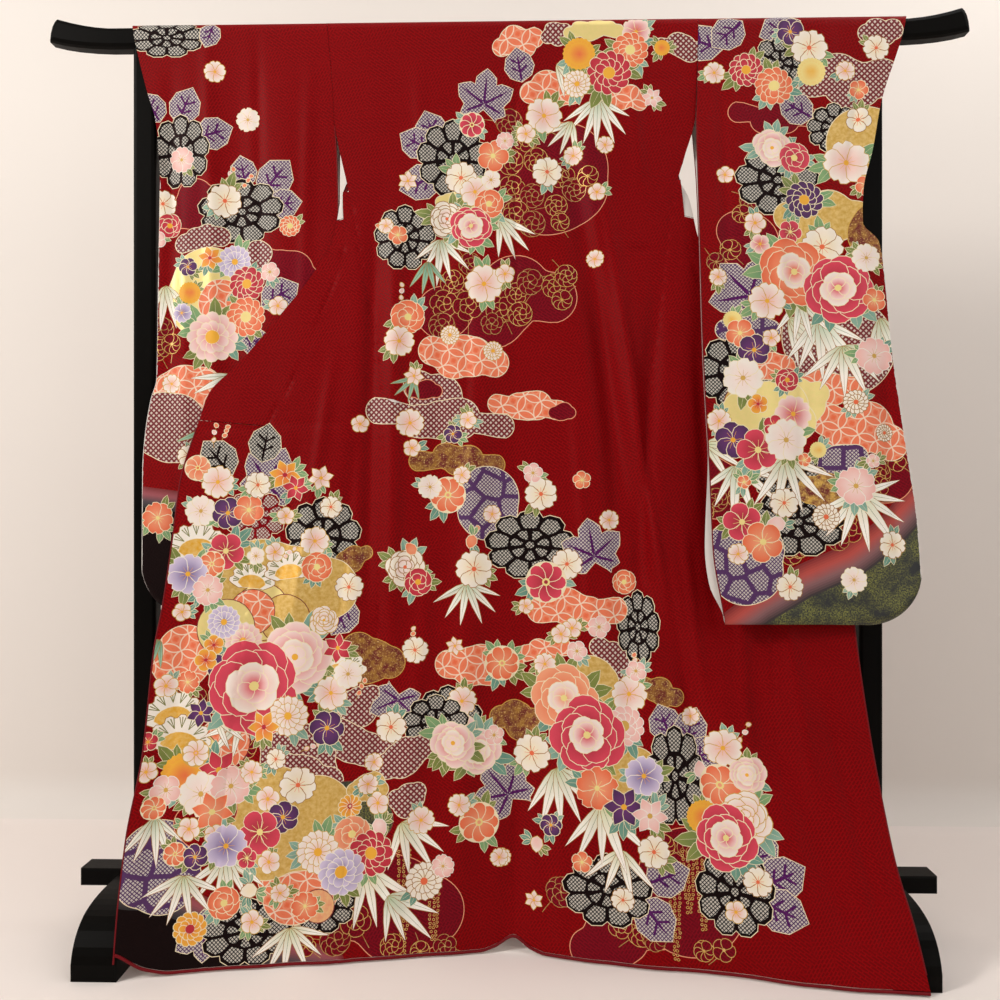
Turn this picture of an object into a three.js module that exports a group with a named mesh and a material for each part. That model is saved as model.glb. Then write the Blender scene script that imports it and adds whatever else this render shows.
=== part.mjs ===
// Furisode kimono hung over a black lacquered display stand, its back towards the viewer (-Y).
// Millimetres, +Z up, X along the stand's top bar. The origin is on the floor, under the
// middle of the whole. Cloth is a wall CLOTH thick, worked out on its middle surface.
import * as THREE from 'three';
import { mergeVertices } from 'three/addons/utils/BufferGeometryUtils.js';

// ---------------------------------------------------------------- driving dimensions
const GAP = 0.3;                 // clearance at every seam and joint
const CLOTH = 2;                 // silk and its lining together
const LINING = 1;

const BAR = { length: 1600, height: 37, depth: 36, top: 1579, tipRise: 17, tipRun: 105, edge: 8 };
const POST = { centre: 631, width: 40, depth: 34, corner: 7 };
const LOWER_BAR = { length: 1480, depth: 50, bottom: 77, top: 107 };
const FOOT = { centre: 635, width: 72, halfLength: 212, height: 98, arch: 16, pad: 62 };

const CENTRE_BACK = 18;          // the garment hangs a little to the right of the stand's middle
const NECK_HALF = 90;            // half width of the neck opening
const SHOULDER = { y: BAR.depth / 2 + 2.5, z: 1566, rise: BAR.top + 3.4 - 1566 };
const HEM_ROLL = { radius: 2.6, sides: 6, clear: 2 };
const SLEEVE = { bottom: 550, corner: 90, fold: 7 };

// ---------------------------------------------------------------- colours
const RED_SILK = { color: 0x9c0d14, roughness: 0.55, metalness: 0 };
const WHITE_LINING = { color: 0xd8d2d0, roughness: 0.6, metalness: 0 };
const RED_LINING = { color: 0x8a0a12, roughness: 0.6, metalness: 0 };
const LACQUER = { color: 0x0b0b0c, roughness: 0.22, metalness: 0 };

// ---------------------------------------------------------------- tables of the cut as it hangs
// Where each seam or edge lies, as x at a height z.
const SIDE_SEAM_LEFT = [
  { z: 0, x: -270 }, { z: 300, x: -246 }, { z: 600, x: -209 }, { z: 850, x: -210 },
  { z: 1025, x: -222 }, { z: 1130, x: -242 }, { z: 1200, x: -253 }, { z: 1291, x: -271 },
  { z: 1403, x: -294 }, { z: 1480, x: -299 }, { z: 1582, x: -308 },
];
const SIDE_SEAM_RIGHT = [
  { z: 0, x: 275 }, { z: 300, x: 262 }, { z: 600, x: 245 }, { z: 800, x: 239 },
  { z: 918, x: 245 }, { z: 1035, x: 262 }, { z: 1179, x: 278 }, { z: 1281, x: 293 },
  { z: 1337, x: 309 }, { z: 1412, x: 329 }, { z: 1582, x: 334 },
];
// The seam between a front panel and its overlap panel (okumi), then its collar.
const OVERLAP_SEAM_LEFT = [
  { z: 0, x: -473 }, { z: 400, x: -446 }, { z: 877, x: -404 }, { z: 940, x: -372 },
  { z: 1020, x: -333 }, { z: 1074, x: -314 }, { z: 1130, x: -293 }, { z: 1200, x: -277 },
  { z: 1275, x: -280 }, { z: 1335, x: -262 }, { z: 1405, x: -215 }, { z: 1490, x: -150 },
  { z: 1560, x: -82 }, { z: 1582, x: -72 },
];
const OVERLAP_SEAM_RIGHT = [
  { z: 0, x: 503 }, { z: 81, x: 483 }, { z: 158, x: 468 }, { z: 221, x: 457 },
  { z: 351, x: 446 }, { z: 488, x: 441 }, { z: 877, x: 440 }, { z: 940, x: 408 },
  { z: 1020, x: 369 }, { z: 1074, x: 350 }, { z: 1130, x: 331 }, { z: 1200, x: 313 },
  { z: 1275, x: 306 }, { z: 1335, x: 296 }, { z: 1405, x: 251 }, { z: 1490, x: 186 },
  { z: 1560, x: 118 }, { z: 1582, x: 108 },
];
const FRONT_EDGE_LEFT = [
  { z: 0, x: -601 }, { z: 100, x: -603 }, { z: 200, x: -600 }, { z: 341, x: -584 },
  { z: 500, x: -578 }, { z: 571, x: -569 }, { z: 702, x: -557 }, { z: 779, x: -550 },
  { z: 885, x: -522 },
];
const FRONT_EDGE_RIGHT = [
  { z: 0, x: 649 }, { z: 90, x: 634 }, { z: 181, x: 613 }, { z: 266, x: 600 },
  { z: 389, x: 585 }, { z: 552, x: 572 }, { z: 885, x: 558 },
];
// How far a front panel's side and its collar edge lie behind the back's surface: nothing
// where it is spread sideways, and round to the far side of the bar at the shoulder.
const BEHIND_SIDE_LEFT = [
  { z: 0, y: 0 }, { z: 1285, y: 0 }, { z: 1335, y: 14 }, { z: 1403, y: 39 }, { z: 1582, y: 41 },
];
const BEHIND_SIDE_RIGHT = [
  { z: 0, y: 0 }, { z: 1315, y: 0 }, { z: 1375, y: 18 }, { z: 1412, y: 39 }, { z: 1582, y: 41 },
];
const BEHIND_COLLAR_LEFT = [
  { z: 0, y: 0 }, { z: 1200, y: 0 }, { z: 1275, y: 4 }, { z: 1335, y: 27 }, { z: 1405, y: 40 },
  { z: 1582, y: 41 },
];
const BEHIND_COLLAR_RIGHT = [
  { z: 0, y: 0 }, { z: 1200, y: 0 }, { z: 1275, y: 3 }, { z: 1335, y: 18 }, { z: 1405, y: 40 },
  { z: 1582, y: 41 },
];
// The collar's free edge, beside its seam: x and z, and how far behind the back's surface.
const COLLAR_LEFT = [
  { seam: 877, x: -521, z: 887, y: 0 }, { seam: 940, x: -507, z: 931, y: 0 },
  { seam: 1020, x: -452, z: 990, y: 0 }, { seam: 1074, x: -392, z: 1062, y: 0 },
  { seam: 1130, x: -335, z: 1134, y: 0 }, { seam: 1200, x: -297, z: 1198, y: 0 },
  { seam: 1240, x: -289, z: 1237, y: 1 }, { seam: 1275, x: -284, z: 1270, y: 6 },
  { seam: 1335, x: -244, z: 1328, y: 40 }, { seam: 1405, x: -172, z: 1378, y: 44 },
  { seam: 1490, x: -104, z: 1458, y: 46 }, { seam: 1560, x: -34, z: 1526, y: 46 },
];
const COLLAR_RIGHT = [
  { seam: 877, x: 557, z: 887, y: 0 }, { seam: 940, x: 543, z: 931, y: 0 },
  { seam: 1020, x: 488, z: 990, y: 0 }, { seam: 1074, x: 428, z: 1062, y: 0 },
  { seam: 1130, x: 371, z: 1134, y: 0 }, { seam: 1200, x: 333, z: 1198, y: 0 },
  { seam: 1275, x: 317, z: 1270, y: 5 }, { seam: 1335, x: 280, z: 1328, y: 32 },
  { seam: 1405, x: 208, z: 1378, y: 44 }, { seam: 1490, x: 140, z: 1458, y: 46 },
  { seam: 1560, x: 70, z: 1526, y: 46 },
];
// The hem on the floor: how far it is pulled forward, and how high it is lifted.
const HEM_PLAN = [
  { x: -640, y: -228 }, { x: -601, y: -224 }, { x: -560, y: -204 }, { x: -476, y: -176 },
  { x: -278, y: -146 }, { x: -107, y: -112 }, { x: 0, y: -96 }, { x: 36, y: -100 },
  { x: 141, y: -132 }, { x: 266, y: -155 }, { x: 350, y: -168 }, { x: 473, y: -204 },
  { x: 594, y: -224 }, { x: 660, y: -227 },
];
const HEM_LIFT = [
  { x: -640, z: 44 }, { x: -601, z: 38 }, { x: -560, z: 10 }, { x: -520, z: 0 },
  { x: -40, z: 0 }, { x: -16, z: 6 }, { x: 18, z: 22 }, { x: 48, z: 6 }, { x: 72, z: 0 },
  { x: 660, z: 0 },
];
// Soft folds in the back and the fronts: a line from top to foot, half width and depth,
// a positive depth standing towards the viewer.
const FOLDS = [
  { x0: 95, z0: 1480, x1: 252, z1: 560, width: 26, depth: -13 },
  { x0: 128, z0: 1420, x1: 288, z1: 470, width: 24, depth: 12 },
  { x0: 252, z0: 620, x1: 352, z1: 250, width: 24, depth: -14 },
  { x0: 165, z0: 1180, x1: 212, z1: 380, width: 20, depth: -9 },
  { x0: 262, z0: 1120, x1: 222, z1: 520, width: 16, depth: -8 },
  { x0: -188, z0: 1240, x1: -190, z1: 520, width: 16, depth: 8 },
  { x0: -226, z0: 1200, x1: -232, z1: 620, width: 14, depth: -9 },
  { x0: -40, z0: 1000, x1: -78, z1: 120, width: 26, depth: 8 },
  { x0: 42, z0: 560, x1: 14, z1: 20, width: 24, depth: -9 },
  { x0: -330, z0: 620, x1: -380, z1: 60, width: 30, depth: 8 },
  { x0: 400, z0: 470, x1: 560, z1: 40, width: 30, depth: -8 },
];
// The sleeves: the outer edge of the layer towards the viewer and of the far layer, the
// free inner edge, and how far forward each layer hangs.
const SLEEVE_LEFT = {
  side: -1, cuffEnd: 1370, armholeEnd: 1403, seam: SIDE_SEAM_LEFT,
  outerNear: [
    { z: 500, x: -626 }, { z: 803, x: -626 }, { z: 864, x: -622 }, { z: 924, x: -613 },
    { z: 960, x: -604 }, { z: 1380, x: -606 }, { z: 1411, x: -609 }, { z: 1464, x: -624 },
    { z: 1537, x: -642 }, { z: 1582, x: -651 },
  ],
  outerFar: [
    { z: 500, x: -626 }, { z: 803, x: -626 }, { z: 864, x: -622 }, { z: 924, x: -613 },
    { z: 960, x: -604 }, { z: 1380, x: -605 }, { z: 1411, x: -606 }, { z: 1464, x: -618 },
    { z: 1537, x: -640 }, { z: 1582, x: -651 },
  ],
  inner: [
    { z: 500, x: -279 }, { z: 900, x: -286 }, { z: 1263, x: -289 }, { z: 1350, x: -291 },
    { z: 1403, x: -294 },
  ],
  near: [
    { z: 500, y: -44 }, { z: 900, y: -38 }, { z: 1000, y: -30.5 }, { z: 1150, y: -24 },
    { z: 1240, y: -18.5 }, { z: 1350, y: -19 }, { z: 1566, y: -20.5 },
  ],
  far: [
    { z: 500, y: -34 }, { z: 900, y: -27 }, { z: 1000, y: -23 }, { z: 1180, y: -14 },
    { z: 1300, y: -2 }, { z: 1370, y: 12 }, { z: 1420, y: 20.5 }, { z: 1566, y: 20.5 },
  ],
  folds: [
    { x: -470, z0: 1500, z1: 640, width: 34, depth: -6 },
    { x: -385, z0: 1450, z1: 560, width: 28, depth: 3 },
    { x: -582, z0: 1480, z1: 960, width: 16, depth: -5 },
  ],
};
const SLEEVE_RIGHT = {
  side: 1, cuffEnd: 1205, armholeEnd: 1412, seam: SIDE_SEAM_RIGHT,
  outerNear: [
    { z: 500, x: 676 }, { z: 691, x: 675 }, { z: 868, x: 660 }, { z: 1016, x: 646 },
    { z: 1134, x: 639 }, { z: 1185, x: 630 }, { z: 1215, x: 604 }, { z: 1274, x: 608 },
    { z: 1346, x: 627 }, { z: 1430, x: 644 }, { z: 1541, x: 680 }, { z: 1582, x: 690 },
  ],
  outerFar: [
    { z: 500, x: 676 }, { z: 691, x: 675 }, { z: 868, x: 660 }, { z: 1016, x: 646 },
    { z: 1134, x: 639 }, { z: 1185, x: 628 }, { z: 1215, x: 604 }, { z: 1274, x: 603 },
    { z: 1420, x: 604 }, { z: 1470, x: 630 }, { z: 1541, x: 676 }, { z: 1582, x: 690 },
  ],
  inner: [
    { z: 500, x: 362 }, { z: 560, x: 356 }, { z: 673, x: 341 }, { z: 801, x: 339 },
    { z: 997, x: 333 }, { z: 1187, x: 331 }, { z: 1412, x: 329 },
  ],
  near: [
    { z: 500, y: -143 }, { z: 700, y: -112 }, { z: 900, y: -84 }, { z: 1100, y: -62 },
    { z: 1200, y: -52 }, { z: 1350, y: -33 }, { z: 1450, y: -25 }, { z: 1566, y: -20.5 },
  ],
  far: [
    { z: 500, y: -132 }, { z: 700, y: -101 }, { z: 900, y: -73 }, { z: 1100, y: -51 },
    { z: 1200, y: -41 }, { z: 1300, y: -22 }, { z: 1360, y: 0 }, { z: 1420, y: 20.5 },
    { z: 1566, y: 20.5 },
  ],
  folds: [
    { x: 420, z0: 1440, z1: 620, width: 32, depth: 5 },
    { x: 530, z0: 1500, z1: 700, width: 40, depth: -6 },
    { x: 598, z0: 1250, z1: 620, width: 26, depth: 5 },
  ],
};

// ---------------------------------------------------------------- reading the tables
// A smooth value between a table's rows, which rise in the column `by`.
function read(table, by, at, column) {
  const last = table.length - 1;
  if (at <= table[0][by]) return table[0][column];
  if (at >= table[last][by]) return table[last][column];
  let i = 0;
  while (table[i + 1][by] < at) i += 1;
  const slope = (k) => (table[k + 1][column] - table[k][column]) / (table[k + 1][by] - table[k][by]);
  const tangent = (k) => {
    if (k === 0 || k === last) return k === 0 ? slope(0) : slope(last - 1);
    const before = slope(k - 1);
    const after = slope(k);
    return before * after <= 0 ? 0 : (2 * before * after) / (before + after);
  };
  const span = table[i + 1][by] - table[i][by];
  const t = (at - table[i][by]) / span;
  const rise = table[i + 1][column] - table[i][column];
  const a = tangent(i) * span;
  const b = tangent(i + 1) * span;
  return table[i][column] + t * (a + t * (3 * rise - 2 * a - b + t * (a + b - 2 * rise)));
}

const smooth = (t) => {
  const s = THREE.MathUtils.clamp(t, 0, 1);
  return s * s * (3 - 2 * s);
};
const mix = THREE.MathUtils.lerp;

// ---------------------------------------------------------------- how the cloth hangs
const hemHeight = (x) => HEM_ROLL.clear + 2 * HEM_ROLL.radius + 2.5 * GAP + read(HEM_LIFT, 'x', x, 'z');

// Soft troughs and ridges, each fading in and out along its own line.
function foldDepth(x, z) {
  let depth = 0;
  for (const fold of FOLDS) {
    const along = (fold.z0 - z) / (fold.z0 - fold.z1);
    const fade = smooth((along + 0.15) / 0.4) * smooth((1.2 - along) / 0.4);
    const across = (x - mix(fold.x0, fold.x1, along)) / fold.width;
    depth += fold.depth * fade * Math.exp(-across * across);
  }
  return depth;
}

// The back and the fronts lie in one surface, y over (x, z): upright from the bar, then
// drawn forward to the hem's line on the floor.
function bodyDepth(x, z) {
  const fall = THREE.MathUtils.clamp((SHOULDER.z - z) / SHOULDER.z, 0, 1);
  const hem = read(HEM_PLAN, 'x', x, 'y');
  return mix(-SHOULDER.y, hem, fall * fall) - foldDepth(x, z);
}

// The direction square to that surface, the same for both pieces that meet at a seam.
function bodyNormal(x, z) {
  const step = 3;
  const slopeX = (bodyDepth(x + step, z) - bodyDepth(x - step, z)) / (2 * step);
  const slopeZ = (bodyDepth(x, z + step) - bodyDepth(x, z - step)) / (2 * step);
  return new THREE.Vector3(slopeX, -1, slopeZ).normalize();
}

// A point of that surface, or `behind` it on a piece that passes round the bar.
function onBody(x, z, behind = 0) {
  const point = new THREE.Vector3(x, bodyDepth(x, z) + behind, z);
  if (behind < 2) point.normal = bodyNormal(x, z);
  return point;
}

// The room beside a side seam where a front panel turns away behind it.
const turnRoom = (behind) => 1.8 * smooth(behind / 0.8) * smooth((38 - behind) / 15);

// A point over the bar: `turn` runs from 0 on the ridge to 1 where the cloth hangs free. The
// path is a rounded square, to follow the bar's corners.
const SQUARENESS = 0.62;
function overBar(x, turn, side) {
  const angle = turn * Math.PI / 2;
  const sine = Math.sin(angle) ** SQUARENESS;
  const cosine = Math.cos(angle) ** SQUARENESS;
  const y = side * (SHOULDER.y * sine + 0.7 * GAP * (1 - turn));
  const point = new THREE.Vector3(x, y, SHOULDER.z + SHOULDER.rise * cosine);
  point.normal = new THREE.Vector3(0, side * Math.sin(angle), Math.cos(angle));
  return point;
}
const SHOULDER_TURNS = [0, 0.34, 0.67];

// Row heights from the shoulder down to a column's own hem. Panels that meet share them, and
// one row lies at the collar's end.
const COLLAR_END = 877;
const ROWS = { upper: 15, lower: 10 };
function rowHeights(hem) {
  const heights = [];
  for (let i = 0; i <= ROWS.upper; i += 1) heights.push(mix(SHOULDER.z, COLLAR_END, i / ROWS.upper));
  for (let i = 1; i <= ROWS.lower; i += 1) heights.push(mix(COLLAR_END, hem, i / ROWS.lower));
  return heights;
}

// ---------------------------------------------------------------- making closed walls
function solid(points, triangles) {
  const geometry = new THREE.BufferGeometry();
  geometry.setAttribute('position', new THREE.Float32BufferAttribute(points.flatMap((p) => p.toArray()), 3));
  let volume = 0;
  for (const [a, b, c] of triangles) {
    volume += points[a].dot(points[b].clone().cross(points[c])) / 6;
  }
  geometry.setIndex((volume < 0 ? triangles.map(([a, b, c]) => [a, c, b]) : triangles).flat());
  return geometry;
}

// A grid of middle points, grid[row][column], becomes a wall with two faces and four rims.
// A point may carry its own normal, whose sign follows the grid; the others take theirs from
// their neighbours.
function wall(grid, thickness) {
  const rows = grid.length;
  const columns = grid[0].length;
  const points = [];
  for (const side of [0.5, -0.5]) {
    for (let i = 0; i < rows; i += 1) {
      for (let j = 0; j < columns; j += 1) {
        const down = grid[Math.min(i + 1, rows - 1)][j].clone().sub(grid[Math.max(i - 1, 0)][j]);
        const across = grid[i][Math.min(j + 1, columns - 1)].clone().sub(grid[i][Math.max(j - 1, 0)]);
        const found = down.cross(across).normalize();
        const normal = grid[i][j].normal ?? found;
        const sign = Math.sign(normal.dot(found)) || 1;
        points.push(grid[i][j].clone().addScaledVector(normal, sign * side * thickness));
      }
    }
  }
  const at = (side, i, j) => side * rows * columns + i * columns + j;
  const triangles = [];
  const quad = (a, b, c, d) => triangles.push([a, b, c], [a, c, d]);
  for (let i = 0; i < rows - 1; i += 1) {
    for (let j = 0; j < columns - 1; j += 1) {
      quad(at(0, i, j), at(0, i + 1, j), at(0, i + 1, j + 1), at(0, i, j + 1));
      quad(at(1, i, j), at(1, i, j + 1), at(1, i + 1, j + 1), at(1, i + 1, j));
    }
    quad(at(0, i, 0), at(1, i, 0), at(1, i + 1, 0), at(0, i + 1, 0));
    const j = columns - 1;
    quad(at(0, i, j), at(0, i + 1, j), at(1, i + 1, j), at(1, i, j));
  }
  for (let j = 0; j < columns - 1; j += 1) {
    quad(at(0, 0, j), at(0, 0, j + 1), at(1, 0, j + 1), at(1, 0, j));
    const i = rows - 1;
    quad(at(0, i, j), at(1, i, j), at(1, i, j + 1), at(0, i, j + 1));
  }
  return solid(points, triangles);
}

const garment = new THREE.Group();

function addPiece(name, geometry, finish) {
  const mesh = new THREE.Mesh(geometry, new THREE.MeshStandardMaterial(finish));
  mesh.name = name;
  garment.add(mesh);
  return mesh;
}

// ---------------------------------------------------------------- back panels
// From the ridge on the bar to the hem, between the centre-back seam and the side seam.
function backPanel(seam, side, columns) {
  const grid = [];
  const centre = CENTRE_BACK + side * GAP / 2;
  const edge = (z) => read(seam, 'z', z, 'x') - side * GAP / 2;
  for (const turn of SHOULDER_TURNS) {
    const row = [];
    for (let j = 0; j <= columns; j += 1) {
      row.push(overBar(mix(centre, edge(SHOULDER.z), j / columns), turn, -1));
    }
    grid.push(row);
  }
  for (let i = 0; i <= ROWS.upper + ROWS.lower; i += 1) {
    const row = [];
    for (let j = 0; j <= columns; j += 1) {
      const s = j / columns;
      const z = rowHeights(hemHeight(mix(centre, edge(0), s)))[i];
      row.push(onBody(mix(centre, edge(z), s), z));
    }
    grid.push(row);
  }
  return wall(grid, CLOTH);
}

// ---------------------------------------------------------------- front panels
// From the ridge down behind the bar, turning over as it comes out past the side seam,
// then spread sideways down to the hem.
function frontPanel(shape, columns) {
  const grid = [];
  const side = shape.side;
  const point = (z, s) => {
    const sideBehind = read(shape.behindSide, 'z', z, 'y');
    const collarBehind = read(shape.behindCollar, 'z', z, 'y');
    const from = read(shape.seam, 'z', z, 'x') + side * turnRoom(sideBehind);
    const to = read(shape.overlap, 'z', z, 'x');
    const inset = GAP / 2 / Math.hypot(to - from, collarBehind - sideBehind);
    const t = mix(inset, 1 - inset, s);
    return onBody(mix(from, to, t), z, mix(sideBehind, collarBehind, t));
  };
  for (const turn of SHOULDER_TURNS) {
    const row = [];
    for (let j = 0; j <= columns; j += 1) {
      row.push(overBar(point(mix(SHOULDER.z + SHOULDER.rise, SHOULDER.z, turn), j / columns).x, turn, 1));
    }
    grid.push(row);
  }
  for (let i = 0; i <= ROWS.upper + ROWS.lower; i += 1) {
    const row = [];
    for (let j = 0; j <= columns; j += 1) {
      const s = j / columns;
      row.push(point(rowHeights(hemHeight(point(0, s).x))[i], s));
    }
    grid.push(row);
  }
  return wall(grid, CLOTH);
}

// ---------------------------------------------------------------- overlap panels (okumi)
// A narrow strip outside the front panel, from the collar's end to the hem.
function overlapPanel(shape, columns) {
  const grid = [];
  const side = shape.side;
  const [start] = shape.collar;
  for (let i = 0; i <= ROWS.lower; i += 1) {
    const row = [];
    for (let j = 0; j <= columns; j += 1) {
      const s = j / columns;
      const top = mix(start.seam, start.z, s) - 1 - GAP;
      const from = (z) => read(shape.overlap, 'z', z, 'x') + side * GAP / 2;
      const to = (z) => read(shape.edge, 'z', z, 'x');
      const hem = hemHeight(mix(from(0), to(0), s));
      const z = mix(top, hem, i / ROWS.lower);
      row.push(onBody(mix(from(z), to(z), s), z));
    }
    grid.push(row);
  }
  return wall(grid, CLOTH);
}

// ---------------------------------------------------------------- collar
// One long band: up the left front, round the back of the neck, down the right front. It is
// folded in half round the neck and opens to its full width at its two ends.
function collarSide(shape, columns) {
  const rows = [];
  for (const seamZ of rowHeights(0).slice(0, ROWS.upper + 1).reverse()) {
    const seamBehind = read(shape.behindCollar, 'z', seamZ, 'y');
    const seamX = read(shape.overlap, 'z', seamZ, 'x');
    const free = (column) => read(shape.collar, 'seam', seamZ, column);
    const room = GAP / 2 + 1.8 * smooth(seamBehind / 1.5);
    const inset = room / Math.hypot(free('x') - seamX, free('z') - seamZ, free('y') - seamBehind);
    const row = [];
    for (let j = 0; j <= columns; j += 1) {
      const s = mix(inset, 1, j / columns);
      const behind = mix(seamBehind, free('y'), s);
      row.push(onBody(mix(seamX, free('x'), s), mix(seamZ, free('z'), s), behind));
    }
    rows.push(row);
  }
  return rows;
}

// Across the back of the neck the band starts on the ridge and drops behind the bar.
function collarNeck(columns) {
  const corner = NECK_HALF - 1.6;
  const stations = [
    { across: -corner, turn: 0.67 }, { across: -corner, turn: 0.34 }, { across: -corner, turn: 0 },
    { across: -0.5 * corner, turn: 0 }, { across: 0, turn: 0 }, { across: 0.5 * corner, turn: 0 },
    { across: corner, turn: 0 }, { across: corner, turn: 0.34 }, { across: corner, turn: 0.67 },
  ];
  return stations.map(({ across, turn }, i) => {
    const spread = mix(-0.55, 0.55, i / (stations.length - 1));
    const freeX = CENTRE_BACK + spread * NECK_HALF;
    const row = [];
    for (let j = 0; j < columns; j += 1) {
      const x = mix(CENTRE_BACK + across, freeX, j / columns);
      row.push(overBar(x, mix(turn, 1, j / (columns - 1)), 1));
    }
    row.push(new THREE.Vector3(freeX, SHOULDER.y + 5, 1524));
    return row;
  });
}

function collarBand(columns) {
  const left = collarSide(LEFT_FRONT, columns);
  const right = collarSide(RIGHT_FRONT, columns).reverse();
  return wall([...left, ...collarNeck(columns), ...right], CLOTH);
}

// ---------------------------------------------------------------- sleeves
// A sleeve is a bag: one length of cloth over the bar, folded at its foot. Its inner edge is
// open below the armhole, its outer edge is open at the cuff and sewn shut below it.
function sleeveFoot(sleeve, s) {
  const outer = Math.abs(read(sleeve.outerNear, 'z', SLEEVE.bottom, 'x'));
  const inner = Math.abs(read(sleeve.inner, 'z', SLEEVE.bottom, 'x'));
  const toEdge = (1 - s) * (outer - inner);
  if (toEdge >= SLEEVE.corner) return SLEEVE.bottom;
  const run = SLEEVE.corner - toEdge;
  return SLEEVE.bottom + SLEEVE.corner - Math.sqrt(SLEEVE.corner ** 2 - run ** 2 * 0.97);
}

function sleeveFold(sleeve, x, z) {
  let depth = 0;
  for (const fold of sleeve.folds) {
    const along = (fold.z0 - z) / (fold.z0 - fold.z1);
    const fade = smooth((along + 0.1) / 0.4) * smooth((1.1 - along) / 0.4);
    const across = (x - fold.x) / fold.width;
    depth += fold.depth * fade * Math.exp(-across * across);
  }
  return depth;
}

// The inner edge: sewn to the body down to the armhole's end, then free.
function sleeveInner(sleeve, z) {
  const table = z > sleeve.armholeEnd ? sleeve.seam : sleeve.inner;
  return read(table, 'z', z, 'x') + sleeve.side * 2 * GAP;
}

// A sleeve's middle surface: layer 'near' or 'far', s from the inner to the outer edge.
function sleevePoint(sleeve, layer, s, z) {
  const outer = read(layer === 'near' ? sleeve.outerNear : sleeve.outerFar, 'z', z, 'x');
  const x = mix(sleeveInner(sleeve, z), outer, s);
  const closed = smooth((s - 0.8) / 0.2) * smooth((sleeve.cuffEnd - z) / 60);
  const near = read(sleeve.near, 'z', z, 'y');
  const far = read(sleeve.far, 'z', z, 'y');
  const seamDepth = (near + far) / 2 + (layer === 'near' ? -1.6 : 1.6);
  const y = mix(layer === 'near' ? near : far, seamDepth, closed);
  return new THREE.Vector3(x, y - sleeveFold(sleeve, x, z), z);
}

function sleeveBag(sleeve, stationAt, heights) {
  const last = stationAt.length - 1;
  const rings = stationAt.map((s) => {
    const foot = sleeveFoot(sleeve, s);
    const lift = (h) => mix(foot + SLEEVE.fold, SHOULDER.z, h);
    const nearSide = heights.map((h) => sleevePoint(sleeve, 'near', s, lift(h)));
    const farSide = heights.map((h) => sleevePoint(sleeve, 'far', s, lift(h)));
    const bottom = nearSide[0].clone().lerp(farSide[0], 0.5).setZ(foot);
    const x = (turn) => sleevePoint(sleeve, 'near', s, mix(SHOULDER.z + SHOULDER.rise, SHOULDER.z, turn)).x;
    const over = SHOULDER_TURNS.slice(1).map((turn) => overBar(x(turn), turn, -1)).reverse();
    const behind = SHOULDER_TURNS.slice(1).map((turn) => overBar(x(turn), turn, 1));
    const ridge = overBar(x(0), 0, 1).setY(0);
    return [bottom, ...nearSide, ...over, ridge, ...behind, ...farSide.reverse()];
  });
  const around = rings[0].length;
  const closedTo = heights.filter((h) => mix(SLEEVE.bottom, SHOULDER.z, h) < sleeve.cuffEnd).length;
  const skins = [[], []];
  rings.forEach((ring, i) => {
    ring.forEach((point, j) => {
      const along = ring[(j + 1) % around].clone().sub(ring[(j + around - 1) % around]);
      const across = rings[Math.min(i + 1, last)][j].clone().sub(rings[Math.max(i - 1, 0)][j]);
      const normal = along.cross(across).normalize().multiplyScalar(sleeve.side);
      const shut = i === last && (j <= closedTo || j >= around - closedTo);
      const inset = shut ? -sleeve.side * CLOTH : 0;
      const thin = j === 0 && i === last ? 0.5 : 1;
      skins[0].push(point.clone().addScaledVector(normal, CLOTH / 2));
      skins[1].push(point.clone().addScaledVector(normal, -thin * CLOTH / 2).add(new THREE.Vector3(inset, 0, 0)));
    });
  });
  const points = [...skins[0], ...skins[1]];
  const at = (skin, i, j) => skin * skins[0].length + i * around + (j % around);
  const triangles = [];
  const quad = (a, b, c, d) => triangles.push([a, b, c], [a, c, d]);
  for (let i = 0; i < last; i += 1) {
    for (let j = 0; j < around; j += 1) {
      quad(at(0, i, j), at(0, i + 1, j), at(0, i + 1, j + 1), at(0, i, j + 1));
      quad(at(1, i, j), at(1, i, j + 1), at(1, i + 1, j + 1), at(1, i + 1, j));
    }
  }
  for (let j = 0; j < around; j += 1) {
    quad(at(0, 0, j), at(0, 0, j + 1), at(1, 0, j + 1), at(1, 0, j));
    const open = j >= closedTo && j < around - closedTo;
    if (open) quad(at(0, last, j), at(1, last, j), at(1, last, j + 1), at(0, last, j + 1));
  }
  triangles.push([at(0, last, 0), at(0, last, around - 1), at(0, last, 1)]);
  triangles.push([at(1, last, 0), at(1, last, 1), at(1, last, around - 1)]);
  for (let k = 1; k < closedTo; k += 1) {
    const far = around - k;
    quad(at(0, last, k), at(0, last, far), at(0, last, far - 1), at(0, last, k + 1));
    quad(at(1, last, k), at(1, last, k + 1), at(1, last, far - 1), at(1, last, far));
  }
  const topNear = closedTo;
  const topFar = around - closedTo;
  quad(at(0, last, topNear), at(0, last, topFar), at(1, last, topFar), at(1, last, topNear));
  return solid(points, triangles);
}

// The pale lining that shows inside a sleeve's open inner edge: the far layer's own points,
// moved towards the near layer.
function sleeveLining(sleeve, stations, heights) {
  const offset = CLOTH / 2 + LINING / 2 + 4 * GAP;
  const grid = heights.map((h) => stations.map((s) => {
    const z = mix(SLEEVE.bottom + SLEEVE.fold, SHOULDER.z, h);
    return sleevePoint(sleeve, 'far', s, z).add(new THREE.Vector3(0, -offset, 0));
  }));
  return wall(grid, LINING);
}

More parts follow.
